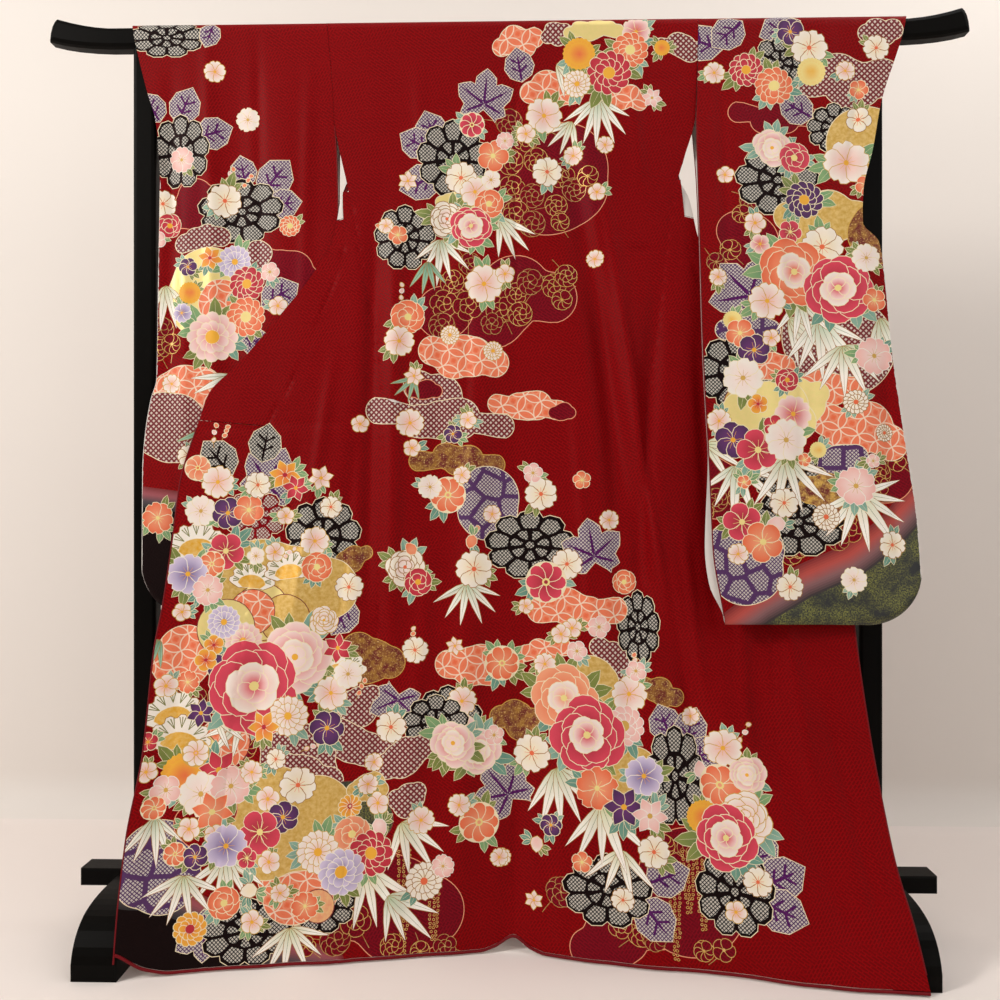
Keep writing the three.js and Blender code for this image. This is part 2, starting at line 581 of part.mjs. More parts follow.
// ---------------------------------------------------------------- padded hem edge (fuki)
// A thin roll of the lining that shows under the whole hem.
function hemRoll(stations) {
  const { radius, sides } = HEM_ROLL;
  const steps = stations.length - 1;
  const points = [];
  const triangles = [];
  for (const x of stations) {
    const z = hemHeight(x) - 2.5 * GAP - radius;
    const y = bodyDepth(x, z);
    for (let k = 0; k < sides; k += 1) {
      const angle = (k / sides) * 2 * Math.PI;
      points.push(new THREE.Vector3(x, y + radius * Math.sin(angle), z + radius * Math.cos(angle)));
    }
  }
  for (let i = 0; i < steps; i += 1) {
    for (let k = 0; k < sides; k += 1) {
      const next = (k + 1) % sides;
      const a = i * sides + k;
      const b = i * sides + next;
      triangles.push([a, b, b + sides], [a, b + sides, a + sides]);
    }
  }
  for (let k = 1; k < sides - 1; k += 1) {
    const end = steps * sides;
    triangles.push([0, k + 1, k], [end, end + k, end + k + 1]);
  }
  return solid(points, triangles);
}

// ---------------------------------------------------------------- the garment
const LEFT_FRONT = {
  side: -1, seam: SIDE_SEAM_LEFT, overlap: OVERLAP_SEAM_LEFT, edge: FRONT_EDGE_LEFT,
  behindSide: BEHIND_SIDE_LEFT, behindCollar: BEHIND_COLLAR_LEFT, collar: COLLAR_LEFT,
};
const RIGHT_FRONT = {
  side: 1, seam: SIDE_SEAM_RIGHT, overlap: OVERLAP_SEAM_RIGHT, edge: FRONT_EDGE_RIGHT,
  behindSide: BEHIND_SIDE_RIGHT, behindCollar: BEHIND_COLLAR_RIGHT, collar: COLLAR_RIGHT,
};
const COLUMNS = { back: 14, front: 8, overlap: 5, collar: 4 };
const LINED = [0.004, 0.14, 0.3];
const STATIONS = [0, 0.14, 0.3, 0.44, 0.58, 0.7, 0.8, 0.88, 0.95, 1];
const HEIGHTS = [0, 0.05, 0.12, 0.2, 0.3, 0.38, 0.44, 0.52, 0.6, 0.66, 0.74, 0.81, 0.86, 0.93, 1];

// The x of every column of the panels that end at the hem, from left to right.
function hemStations() {
  const at = (table) => read(table, 'z', 0, 'x');
  const seams = [
    { from: at(FRONT_EDGE_LEFT) + 1, to: at(OVERLAP_SEAM_LEFT), columns: COLUMNS.overlap },
    { from: at(OVERLAP_SEAM_LEFT), to: at(SIDE_SEAM_LEFT), columns: COLUMNS.front },
    { from: at(SIDE_SEAM_LEFT), to: CENTRE_BACK, columns: COLUMNS.back },
    { from: CENTRE_BACK, to: at(SIDE_SEAM_RIGHT), columns: COLUMNS.back },
    { from: at(SIDE_SEAM_RIGHT), to: at(OVERLAP_SEAM_RIGHT), columns: COLUMNS.front },
    { from: at(OVERLAP_SEAM_RIGHT), to: at(FRONT_EDGE_RIGHT) - 1, columns: COLUMNS.overlap },
  ];
  const stations = [seams[0].from];
  for (const { from, to, columns } of seams) {
    for (let j = 1; j <= columns; j += 1) stations.push(mix(from, to, j / columns));
  }
  return stations;
}

addPiece('back_left', backPanel(SIDE_SEAM_LEFT, -1, COLUMNS.back), RED_SILK);
addPiece('back_right', backPanel(SIDE_SEAM_RIGHT, 1, COLUMNS.back), RED_SILK);
addPiece('front_left', frontPanel(LEFT_FRONT, COLUMNS.front), RED_SILK);
addPiece('front_right', frontPanel(RIGHT_FRONT, COLUMNS.front), RED_SILK);
addPiece('okumi_left', overlapPanel(LEFT_FRONT, COLUMNS.overlap), RED_SILK);
addPiece('okumi_right', overlapPanel(RIGHT_FRONT, COLUMNS.overlap), RED_SILK);
addPiece('collar', collarBand(COLUMNS.collar), RED_SILK);
addPiece('sleeve_left', sleeveBag(SLEEVE_LEFT, STATIONS, HEIGHTS), RED_SILK);
addPiece('sleeve_right', sleeveBag(SLEEVE_RIGHT, STATIONS, HEIGHTS), RED_SILK);
addPiece('sleeve_lining_left', sleeveLining(SLEEVE_LEFT, LINED, HEIGHTS.slice(1, -3)), WHITE_LINING);
addPiece('sleeve_lining_right', sleeveLining(SLEEVE_RIGHT, LINED, HEIGHTS.slice(1, -3)), WHITE_LINING);
addPiece('hem_roll', hemRoll(hemStations()), RED_LINING);

// ---------------------------------------------------------------- the display stand
// The top bar: straight over the posts, its two ends curving up and cut on a slant.
function topBar() {
  const half = BAR.length / 2;
  const bottom = BAR.top - BAR.height;
  const shape = new THREE.Shape();
  shape.moveTo(-half + BAR.tipRun, bottom);
  shape.lineTo(half - BAR.tipRun, bottom);
  shape.quadraticCurveTo(half - 40, bottom + 2, half, bottom + 14);
  shape.quadraticCurveTo(half - 2, BAR.top + 8, half - 14, BAR.top + BAR.tipRise);
  shape.quadraticCurveTo(half - 60, BAR.top + 3, half - BAR.tipRun, BAR.top);
  shape.lineTo(-half + BAR.tipRun, BAR.top);
  shape.quadraticCurveTo(-half + 60, BAR.top + 3, -half + 14, BAR.top + BAR.tipRise);
  shape.quadraticCurveTo(-half + 2, BAR.top + 8, -half, bottom + 14);
  shape.quadraticCurveTo(-half + 40, bottom + 2, -half + BAR.tipRun, bottom);
  return slab(shape, BAR.depth, BAR.edge, 4);
}

// A flat outline in X and Z, extruded through `depth` along Y with rounded edges.
function slab(shape, depth, bevel, curveSegments) {
  const geometry = new THREE.ExtrudeGeometry(shape, {
    depth: depth - 2 * bevel, bevelEnabled: true, bevelThickness: bevel, bevelSize: bevel,
    bevelOffset: -bevel, bevelSegments: 2, curveSegments,
  });
  geometry.translate(0, 0, -(depth - 2 * bevel) / 2);
  geometry.rotateX(Math.PI / 2);
  return geometry;
}

function roundedBox(width, depth, height, corner) {
  const shape = new THREE.Shape();
  const w = width / 2 - corner;
  const d = depth / 2 - corner;
  shape.absarc(w, d, corner, 0, Math.PI / 2);
  shape.absarc(-w, d, corner, Math.PI / 2, Math.PI);
  shape.absarc(-w, -d, corner, Math.PI, 1.5 * Math.PI);
  shape.absarc(w, -d, corner, 1.5 * Math.PI, 2 * Math.PI);
  shape.closePath();
  return new THREE.ExtrudeGeometry(shape, { depth: height, bevelEnabled: false, curveSegments: 3 });
}

// A foot: a low runner from front to back, rounded over at both ends and arched beneath,
// notched across its top for the lower bar.
function footRunner() {
  const { halfLength: end, height, arch, pad, width } = FOOT;
  const notch = LOWER_BAR.depth / 2 + GAP;
  const floorOfNotch = LOWER_BAR.bottom - GAP;
  const shape = new THREE.Shape();
  shape.moveTo(-end, 0);
  shape.lineTo(-end, 26);
  shape.quadraticCurveTo(-end + 8, 66, -end + 46, 84);
  shape.quadraticCurveTo(-end + 80, height, -end + 140, height);
  shape.lineTo(-notch, height);
  shape.lineTo(-notch, floorOfNotch);
  shape.lineTo(notch, floorOfNotch);
  shape.lineTo(notch, height);
  shape.lineTo(end - 140, height);
  shape.quadraticCurveTo(end - 80, height, end - 46, 84);
  shape.quadraticCurveTo(end - 8, 66, end, 26);
  shape.lineTo(end, 0);
  shape.lineTo(end - pad, 0);
  shape.quadraticCurveTo(end - pad - 30, arch, 0, arch);
  shape.quadraticCurveTo(-end + pad + 30, arch, -end + pad, 0);
  shape.closePath();
  const geometry = new THREE.ExtrudeGeometry(shape, { depth: width, bevelEnabled: false, curveSegments: 6 });
  geometry.translate(0, 0, -width / 2);
  geometry.rotateX(Math.PI / 2);
  geometry.rotateZ(Math.PI / 2);
  return geometry;
}

// Merges an extrusion's separate faces into one closed skin.
function closedSkin(geometry) {
  const skin = geometry.clone();
  skin.deleteAttribute('normal');
  skin.deleteAttribute('uv');
  return mergeVertices(skin, 0.001);
}

addPiece('top_bar', closedSkin(topBar()), LACQUER);
const postFoot = LOWER_BAR.top + GAP;
const postHeight = BAR.top - BAR.height - GAP - postFoot;
for (const [name, side] of [['post_left', -1], ['post_right', 1]]) {
  const post = roundedBox(POST.width, POST.depth, postHeight, POST.corner);
  addPiece(name, closedSkin(post), LACQUER).position.set(side * POST.centre, 0, postFoot);
}
const lowerBar = new THREE.Shape();
const lowerHalf = LOWER_BAR.length / 2;
lowerBar.moveTo(-lowerHalf, LOWER_BAR.bottom);
lowerBar.lineTo(lowerHalf, LOWER_BAR.bottom);
lowerBar.lineTo(lowerHalf, LOWER_BAR.top);
lowerBar.lineTo(-lowerHalf, LOWER_BAR.top);
addPiece('lower_bar', closedSkin(slab(lowerBar, LOWER_BAR.depth, 3, 1)), LACQUER);
for (const [name, side] of [['foot_left', -1], ['foot_right', 1]]) {
  addPiece(name, closedSkin(footRunner()), LACQUER).position.set(side * FOOT.centre, 0, 0);
}

export default garment;
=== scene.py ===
# Furisode kimono hung over a black lacquered stand: cloth, print, linings and finishes.
# Sizes are in millimetres in the row's frame (+X right, +Z up, -Y towards the viewer) and become
# metres where a mesh is made. The cloth's flat coordinates are x across and v along its length:
# v is the height while the cloth hangs, and runs on over the bar from there.
import math
import random

import bpy
import numpy as np
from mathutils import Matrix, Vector
from mathutils.geometry import delaunay_2d_cdt


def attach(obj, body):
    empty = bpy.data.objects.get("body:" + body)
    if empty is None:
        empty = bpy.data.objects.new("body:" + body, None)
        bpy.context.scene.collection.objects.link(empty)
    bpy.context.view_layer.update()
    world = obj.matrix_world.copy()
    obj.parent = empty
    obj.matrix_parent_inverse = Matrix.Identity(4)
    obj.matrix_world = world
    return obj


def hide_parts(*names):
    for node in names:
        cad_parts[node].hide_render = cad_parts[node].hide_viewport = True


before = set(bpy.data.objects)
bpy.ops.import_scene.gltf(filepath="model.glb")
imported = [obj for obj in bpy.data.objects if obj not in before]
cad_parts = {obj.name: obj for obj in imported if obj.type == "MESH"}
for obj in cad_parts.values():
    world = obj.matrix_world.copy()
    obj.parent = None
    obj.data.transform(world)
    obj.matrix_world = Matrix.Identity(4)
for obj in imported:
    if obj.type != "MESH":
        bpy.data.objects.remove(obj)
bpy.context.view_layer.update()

MM = 0.001

# ---------------------------------------------------------------- camera
CAMERA_AT = (38.0, -1750.0, 750.0)
CAMERA_YAW = math.radians(1.5)
IMAGE = 1000                      # pixels across the picture
FOCAL = 1000                      # focal length in the same pixels
SENSOR = 36.0


def make_camera():
    data = bpy.data.cameras.new("camera")
    data.sensor_width = SENSOR
    data.lens = SENSOR * FOCAL / IMAGE
    camera = bpy.data.objects.new("camera", data)
    camera.location = [c * MM for c in CAMERA_AT]
    camera.rotation_euler = (math.pi / 2, 0, CAMERA_YAW)
    bpy.context.scene.collection.objects.link(camera)
    bpy.context.scene.camera = camera
    bpy.context.scene.view_settings.view_transform = "Standard"


# ---------------------------------------------------------------- the cut as it hangs
def table(columns, *rows):
    """Rows of numbers under named columns, the first of which rises."""
    return dict(zip(columns.split(), np.array(rows, float).T))


SIDE_SEAM_LEFT = table("z x", (0, -270), (300, -246), (600, -209), (850, -210), (1025, -222),
                       (1130, -242), (1200, -253), (1291, -271), (1403, -294), (1480, -299),
                       (1582, -308))
SIDE_SEAM_RIGHT = table("z x", (0, 275), (300, 262), (600, 245), (800, 239), (918, 245),
                        (1035, 262), (1179, 278), (1281, 293), (1337, 309), (1412, 329),
                        (1582, 334))
OVERLAP_SEAM_LEFT = table("z x", (0, -473), (400, -446), (877, -404), (940, -372), (1020, -333),
                          (1074, -314), (1130, -293), (1200, -277), (1275, -280), (1335, -262),
                          (1405, -215), (1490, -150), (1560, -82), (1582, -72))
OVERLAP_SEAM_RIGHT = table("z x", (0, 503), (81, 483), (158, 468), (221, 457), (351, 446),
                           (488, 441), (877, 440), (940, 408), (1020, 369), (1074, 350),
                           (1130, 331), (1200, 313), (1275, 306), (1335, 296), (1405, 251),
                           (1490, 186), (1560, 118), (1582, 108))
FRONT_EDGE_LEFT = table("z x", (0, -601), (100, -603), (200, -600), (341, -584), (500, -578),
                        (571, -569), (702, -557), (779, -550), (885, -522))
FRONT_EDGE_RIGHT = table("z x", (0, 649), (90, 634), (181, 613), (266, 600), (389, 585),
                         (552, 572), (885, 558))
BEHIND_SIDE_LEFT = table("z y", (0, 0), (1285, 0), (1335, 14), (1403, 39), (1582, 41))
BEHIND_SIDE_RIGHT = table("z y", (0, 0), (1315, 0), (1375, 18), (1412, 39), (1582, 41))
BEHIND_COLLAR_LEFT = table("z y", (0, 0), (1200, 0), (1275, 4), (1335, 27), (1405, 40), (1582, 41))
BEHIND_COLLAR_RIGHT = table("z y", (0, 0), (1200, 0), (1275, 3), (1335, 18), (1405, 40), (1582, 41))
COLLAR_LEFT = table("seam x z y", (877, -521, 887, 0), (940, -507, 931, 0), (1020, -452, 990, 0),
                    (1074, -392, 1062, 0), (1130, -335, 1134, 0), (1200, -297, 1198, 0),
                    (1240, -289, 1237, 1), (1275, -284, 1270, 6), (1335, -244, 1328, 40),
                    (1405, -172, 1378, 44), (1490, -104, 1458, 46), (1560, -34, 1526, 46))
COLLAR_RIGHT = table("seam x z y", (877, 557, 887, 0), (940, 543, 931, 0), (1020, 488, 990, 0),
                     (1074, 428, 1062, 0), (1130, 371, 1134, 0), (1200, 333, 1198, 0),
                     (1275, 317, 1270, 5), (1335, 280, 1328, 32), (1405, 208, 1378, 44),
                     (1490, 140, 1458, 46), (1560, 70, 1526, 46))
HEM_PLAN = table("x y", (-640, -228), (-601, -224), (-560, -204), (-476, -176), (-278, -146),
                 (-107, -112), (0, -96), (36, -100), (141, -132), (266, -155), (350, -168),
                 (473, -204), (594, -224), (660, -227))
HEM_LIFT = table("x z", (-640, 44), (-601, 38), (-560, 10), (-520, 0), (-40, 0), (-16, 6),
                 (18, 22), (48, 6), (72, 0), (660, 0))
CENTRE_BACK = 18.0
NECK_HALF = 90.0
HEM_CLEAR = 7.95                  # from the floor to the panels' cut edge
HEM_RADIUS = 2.6
SHOULDER_Z = 1566.0
SHOULDER_Y = 20.5
SHOULDER_RISE = 16.4
OVER_BAR = 34.0                   # cloth from the ridge to where it hangs free
RIDGE = SHOULDER_Z + OVER_BAR
SQUARENESS = 0.62
COLLAR_END = 877.0
TABLE_TOP = 1582.0                # the last height of the seams' and edges' tables
HEM_LEVEL = 8.0                   # where the seams are read for the hem's ends
LINING_CHANGE = 735               # white lining above, dark red below

# Folds and creases: a line from top to foot, half width and depth, where a positive depth
# stands towards the viewer. The first rows are the solids' own.
FOLD_COLUMNS = "x0 z0 x1 z1 width depth"
BODY_FOLDS = table(
    FOLD_COLUMNS,
    (95, 1480, 252, 560, 26, -13), (128, 1420, 288, 470, 24, 12), (252, 620, 352, 250, 24, -14),
    (165, 1180, 212, 380, 20, -9), (262, 1120, 222, 520, 16, -8), (-188, 1240, -190, 520, 16, 8),
    (-226, 1200, -232, 620, 14, -9), (-40, 1000, -78, 120, 26, 8), (42, 560, 14, 20, 24, -9),
    (-330, 620, -380, 60, 30, 8), (400, 470, 560, 40, 30, -8),
    (150, 1330, 214, 930, 9, -4), (196, 1100, 262, 640, 10, 4.5), (230, 900, 318, 360, 9, -4),
    (60, 1500, 92, 1240, 12, -3.5), (212, 1520, 236, 1300, 11, 3), (-92, 1400, -120, 760, 15, -4),
    (-150, 1500, -132, 1180, 12, 3), (-250, 900, -292, 420, 12, -4.5), (-296, 980, -352, 560, 10, 4),
    (-352, 840, -424, 300, 13, -4), (-430, 560, -500, 120, 16, 4.5), (-520, 620, -566, 160, 14, -4),
    (-128, 620, -176, 90, 15, 4.5), (-204, 420, -236, 40, 12, -4), (96, 420, 92, 30, 18, 5),
    (150, 360, 172, 40, 13, -5), (330, 1000, 352, 560, 10, -4), (384, 760, 404, 240, 11, 4),
    (300, 700, 330, 420, 9, 4), (446, 700, 500, 260, 13, 4), (520, 420, 590, 70, 13, -5),
    (20, 1500, 22, 1080, 5, -2), (-60, 1180, -66, 860, 8, -2.5), (120, 900, 150, 520, 10, 3.5),
)
LEFT_SLEEVE_FOLDS = table(
    FOLD_COLUMNS,
    (-470, 1500, -470, 640, 34, -6), (-385, 1450, -385, 560, 28, 3), (-582, 1480, -582, 960, 16, -5),
    (-520, 1560, -500, 900, 12, 3.5), (-430, 1540, -424, 1100, 10, -3), (-340, 1480, -352, 980, 11, 3),
    (-560, 1200, -548, 700, 10, 3), (-600, 1380, -566, 1180, 9, -3),
)
RIGHT_SLEEVE_FOLDS = table(
    FOLD_COLUMNS,
    (420, 1440, 420, 620, 32, 5), (530, 1500, 530, 700, 40, -6), (598, 1250, 598, 620, 26, 5),
    (372, 1500, 380, 1000, 11, -3.5), (470, 1540, 462, 900, 12, 3.5), (560, 1540, 548, 1180, 11, 3),
    (636, 1000, 640, 640, 10, -3), (500, 1000, 486, 600, 12, -3), (610, 1480, 584, 1290, 10, -4),
)
# Cross creases where a bag or a panel was folded away: height, from x, to x, depth.
CROSS_COLUMNS = "z x0 x1 depth"
BODY_CROSS = table(CROSS_COLUMNS, (872, -560, -240, 1.2), (1176, -236, -60, 1.6),
                   (1182, 190, 292, 1.8), (704, -60, 180, 0.8), (560, 300, 520, 1.1))
LEFT_SLEEVE_CROSS = table(CROSS_COLUMNS, (1322, -600, -470, 1.2), (1010, -600, -400, 1.0))
RIGHT_SLEEVE_CROSS = table(CROSS_COLUMNS, (1200, 340, 470, 1.2), (900, 460, 650, 1.1))

SLEEVE_LEFT = dict(
    side=-1, cuff_end=1370.0, armhole_end=1403.0, seam=SIDE_SEAM_LEFT, bottom=550.0, corner=90.0,
    folds=LEFT_SLEEVE_FOLDS, cross=LEFT_SLEEVE_CROSS,
    outer_near=table("z x", (500, -626), (803, -626), (864, -622), (924, -613), (960, -604),
                     (1380, -606), (1411, -609), (1464, -624), (1537, -642), (1582, -651)),
    outer_far=table("z x", (500, -626), (803, -626), (864, -622), (924, -613), (960, -604),
                    (1380, -605), (1411, -606), (1464, -618), (1537, -640), (1582, -651)),
    inner=table("z x", (500, -279), (900, -286), (1263, -289), (1350, -291), (1403, -294)),
    near=table("z y", (500, -44), (900, -38), (1000, -30.5), (1150, -24), (1240, -18.5),
               (1350, -19), (1566, -20.5)),
    far=table("z y", (500, -34), (900, -27), (1000, -23), (1180, -14), (1300, -2), (1370, 12),
              (1420, 20.5), (1566, 20.5)),
)
SLEEVE_RIGHT = dict(
    side=1, cuff_end=1205.0, armhole_end=1412.0, seam=SIDE_SEAM_RIGHT, bottom=550.0, corner=90.0,
    folds=RIGHT_SLEEVE_FOLDS, cross=RIGHT_SLEEVE_CROSS,
    outer_near=table("z x", (500, 676), (691, 675), (868, 660), (1016, 646), (1134, 639),
                     (1185, 630), (1215, 604), (1274, 608), (1346, 627), (1430, 644), (1541, 680),
                     (1582, 690)),
    outer_far=table("z x", (500, 676), (691, 675), (868, 660), (1016, 646), (1134, 639),
                    (1185, 628), (1215, 604), (1274, 603), (1420, 604), (1470, 630), (1541, 676),
                    (1582, 690)),
    inner=table("z x", (500, 362), (560, 356), (673, 341), (801, 339), (997, 333), (1187, 331),
                (1412, 329)),
    near=table("z y", (500, -143), (700, -112), (900, -84), (1100, -62), (1200, -52), (1350, -33),
               (1450, -25), (1566, -20.5)),
    far=table("z y", (500, -132), (700, -101), (900, -73), (1100, -51), (1200, -41), (1300, -22),
              (1360, 0), (1420, 20.5), (1566, 20.5)),
)


def read(rows, by, at, column):
    """A smooth value between a table's rows."""
    xs, ys = rows[by], rows[column]
    at = np.clip(np.asarray(at, float), xs[0], xs[-1])
    i = np.clip(np.searchsorted(xs, at, side="left") - 1, 0, len(xs) - 2)
    slope = np.diff(ys) / np.diff(xs)
    before, after = slope[:-1], slope[1:]
    total = np.where(before + after == 0, 1, before + after)
    tangent = np.concatenate([slope[:1], np.where(before * after > 0, 2 * before * after / total, 0),
                              slope[-1:]])
    span = xs[i + 1] - xs[i]
    t = (at - xs[i]) / span
    rise = ys[i + 1] - ys[i]
    a, b = tangent[i] * span, tangent[i + 1] * span
    return ys[i] + t * (a + t * (3 * rise - 2 * a - b + t * (a + b - 2 * rise)))


def smooth(t):
    s = np.clip(t, 0, 1)
    return s * s * (3 - 2 * s)


def mix(a, b, t):
    return a + (b - a) * t


def fold_depth(folds, x, z):
    depth = np.zeros(np.broadcast(x, z).shape)
    for x0, z0, x1, z1, width, height in zip(*(folds[c] for c in FOLD_COLUMNS.split())):
        along = (z0 - z) / (z0 - z1)
        fade = smooth((along + 0.15) / 0.4) * smooth((1.2 - along) / 0.4)
        across = (x - mix(x0, x1, along)) / width
        depth += height * fade * np.exp(-across * across)
    return depth


def cross_depth(creases, x, z):
    """Sharp shallow creases across the cloth, pressed in while it lay folded."""
    depth = np.zeros(np.broadcast(x, z).shape)
    for height, x0, x1, deep in zip(*(creases[c] for c in CROSS_COLUMNS.split())):
        fade = smooth((x - x0) / 60) * smooth((x1 - x) / 60)
        away = np.abs(z - height - 6 * np.sin(x / 70)) / 5
        depth -= deep * fade * np.exp(-away)
    return depth


def ripple(x, z, lean):
    """The silk's own small unevenness, stronger towards the foot."""
    low = smooth((1500 - z) / 1300)
    a = np.sin(x / 23 + z / 310 + lean) * np.sin(x / 61 - z / 190 + 2 * lean)
    b = np.sin(x / 37 - z / 240 + 3 * lean) * np.sin(z / 130 + x / 90)
    return (0.5 + 1.5 * low) * (0.7 * a + 0.6 * b)


SEAMS = [(SIDE_SEAM_LEFT, 0, 1285), (SIDE_SEAM_RIGHT, 0, 1315), (OVERLAP_SEAM_LEFT, 0, 1200),
         (OVERLAP_SEAM_RIGHT, 0, 1200)]


def seam_depth(x, z):
    """The slight valley along each seam."""
    depth = -1.1 * np.exp(-(((x - CENTRE_BACK) / 2.2) ** 2))
    for seam, low, high in SEAMS:
        on = smooth((z - low + 60) / 60) * smooth((high + 30 - z) / 60)
        depth = depth - 1.2 * on * np.exp(-(((x - read(seam, "z", z, "x")) / 2.4) ** 2))
    return depth


def body_depth(x, z):
    """y of the backs and fronts: upright from the bar, then drawn forward to the hem."""
    fall = np.clip((SHOULDER_Z - z) / SHOULDER_Z, 0, 1)
    hang = mix(-SHOULDER_Y, read(HEM_PLAN, "x", x, "y"), fall * fall)
    free = smooth(fall * 9)
    fine = (ripple(x, z, 0.4) + seam_depth(x, z) + cross_depth(BODY_CROSS, x, z)) * free
    return hang - fold_depth(BODY_FOLDS, x, z) - fine


def over_bar(x, v, side):
    """Over the bar: v runs from SHOULDER_Z, where the cloth hangs free, to RIDGE on top."""
    turn = np.clip((RIDGE - v) / OVER_BAR, 0, 1)
    angle = turn * np.pi / 2
    y = side * SHOULDER_Y * np.sin(angle) ** SQUARENESS
    return x, y, SHOULDER_Z + SHOULDER_RISE * np.abs(np.cos(angle)) ** SQUARENESS


def stack(x, y, z):
    x, y, z = np.broadcast_arrays(x, y, z)
    return np.stack([x, y, z], -1).astype(float)


def body_surface(x, v):
    z = np.minimum(v, SHOULDER_Z)
    hanging = stack(x, body_depth(x, z), z)
    return np.where((v > SHOULDER_Z)[:, None], stack(*over_bar(x, v, -1)), hanging)


FRONTS = {
    -1: dict(side=-1, seam=SIDE_SEAM_LEFT, overlap=OVERLAP_SEAM_LEFT, edge=FRONT_EDGE_LEFT,
             behind_side=BEHIND_SIDE_LEFT, behind_collar=BEHIND_COLLAR_LEFT, collar=COLLAR_LEFT),
    1: dict(side=1, seam=SIDE_SEAM_RIGHT, overlap=OVERLAP_SEAM_RIGHT, edge=FRONT_EDGE_RIGHT,
            behind_side=BEHIND_SIDE_RIGHT, behind_collar=BEHIND_COLLAR_RIGHT, collar=COLLAR_RIGHT),
}


def turned_surface(shape):
    """A front panel where it hangs behind the bar, between its side seam and the collar."""
    def surface(x, v):
        z = np.minimum(v, SHOULDER_Z)
        side_behind = read(shape["behind_side"], "z", z, "y")
        collar_behind = read(shape["behind_collar"], "z", z, "y")
        start = read(shape["seam"], "z", z, "x")
        end = read(shape["overlap"], "z", z, "x")
        t = np.clip((x - start) / np.where(np.abs(end - start) < 1, 1, end - start), 0, 1)
        hanging = stack(x, body_depth(x, z) + mix(side_behind, collar_behind, t), z)
        return np.where((v > SHOULDER_Z)[:, None], stack(*over_bar(x, v, 1)), hanging)
    return surface


# ---------------------------------------------------------------- sleeves
SEAM_ROUND = 9.0                  # how far from a sewn edge the two layers start to meet
FOOT_ROUND = 12.0


def sleeve_inner(sleeve, z):
    return np.where(z > sleeve["armhole_end"], read(sleeve["seam"], "z", z, "x"),
                    read(sleeve["inner"], "z", z, "x")) + sleeve["side"] * 0.6


def sleeve_foot(sleeve, x):
    """The height of the sleeve's foot under x, rounded at the outer corner."""
    outer = abs(read(sleeve["outer_near"], "z", sleeve["bottom"], "x"))
    run = np.clip(sleeve["corner"] - (outer - np.abs(x)), 0, sleeve["corner"])
    return sleeve["bottom"] + sleeve["corner"] - np.sqrt(sleeve["corner"] ** 2 - 0.97 * run ** 2)


def sleeve_layer(sleeve, layer, x, z):
    near, far = read(sleeve["near"], "z", z, "y"), read(sleeve["far"], "z", z, "y")
    outer = read(sleeve["outer_" + layer], "z", z, "x")
    middle = (near + far) / 2
    width = np.abs(outer - sleeve_inner(sleeve, z))
    s = 1 - np.abs(outer - x) / np.maximum(width, 1)
    sewn = smooth((sleeve["cuff_end"] - z) / 60)
    lean = smooth((s - 0.8) / 0.2) * sewn
    own = near if layer == "near" else far
    y = mix(own, middle + (-1.6 if layer == "near" else 1.6), lean)
    edge = np.clip(1 - np.abs(outer - x) / SEAM_ROUND, 0, 1)
    foot = np.clip(1 - (z - sleeve_foot(sleeve, x)) / FOOT_ROUND, 0, 1)
    shut = np.sqrt(np.clip(1 - np.maximum(edge * sewn, foot) ** 2, 0, 1))
    y = mix(middle, y, shut)
    fine = ripple(x, z, 1.7 if sleeve["side"] < 0 else 2.9) * 0.6
    fine = fine + cross_depth(sleeve["cross"], x, z) * (1 if layer == "near" else 0.5)
    free = smooth((SHOULDER_Z - z) / 160)
    return y - fold_depth(sleeve["folds"], x, z) - fine * free


def sleeve_surface(sleeve):
    """The whole sleeve: up the near layer, over the ridge, down the far layer."""
    def surface(x, v):
        far = v > RIDGE
        up = np.where(far, 2 * RIDGE - v, v)
        z = np.minimum(up, SHOULDER_Z)
        y = np.where(far, sleeve_layer(sleeve, "far", x, z), sleeve_layer(sleeve, "near", x, z))
        bar = stack(*over_bar(x, up, np.where(far, 1, -1)))
        return np.where((up > SHOULDER_Z)[:, None], bar, stack(x, y, z))
    return surface


def hem_height(x):
    return HEM_CLEAR + read(HEM_LIFT, "x", x, "z")


# ---------------------------------------------------------------- outlines in flat coordinates
EDGE_STEP = 7.0


def run(points):
    """A line through the points, with one every EDGE_STEP or less."""
    points = np.asarray(points, float)
    out = [points[0]]
    for a, b in zip(points[:-1], points[1:]):
        n = max(1, int(math.ceil(np.hypot(*(b - a)) / EDGE_STEP)))
        out += [mix(a, b, (k + 1) / n) for k in range(n)]
    return np.array(out)


def up_line(x_at, low, high):
    """A line from low to high whose x is worked out at each height."""
    v = np.linspace(low, high, max(2, int((high - low) / EDGE_STEP) + 1))
    return np.stack([x_at(v), v], -1)


def joined(*lines):
    points = np.concatenate(lines)
    keep = np.hypot(*(points - np.roll(points, 1, 0)).T) > 0.05
    return points[keep]


def hem_line(x0, x1):
    x = np.linspace(x0, x1, max(2, int(abs(x1 - x0) / EDGE_STEP) + 1))
    return np.stack([x, hem_height(x)], -1)


def back_outline(seam):
    at = lambda v: read(seam, "z", np.minimum(v, TABLE_TOP), "x")
    foot = hem_height(at(np.array([0.0])))[0]
    foot_x = at(np.array([foot]))[0]
    side = up_line(at, foot, RIDGE)
    middle = up_line(lambda v: np.full(len(v), CENTRE_BACK), hem_height(CENTRE_BACK), RIDGE)
    return joined(hem_line(CENTRE_BACK, foot_x), side, run([side[-1], middle[-1]]), middle[::-1])


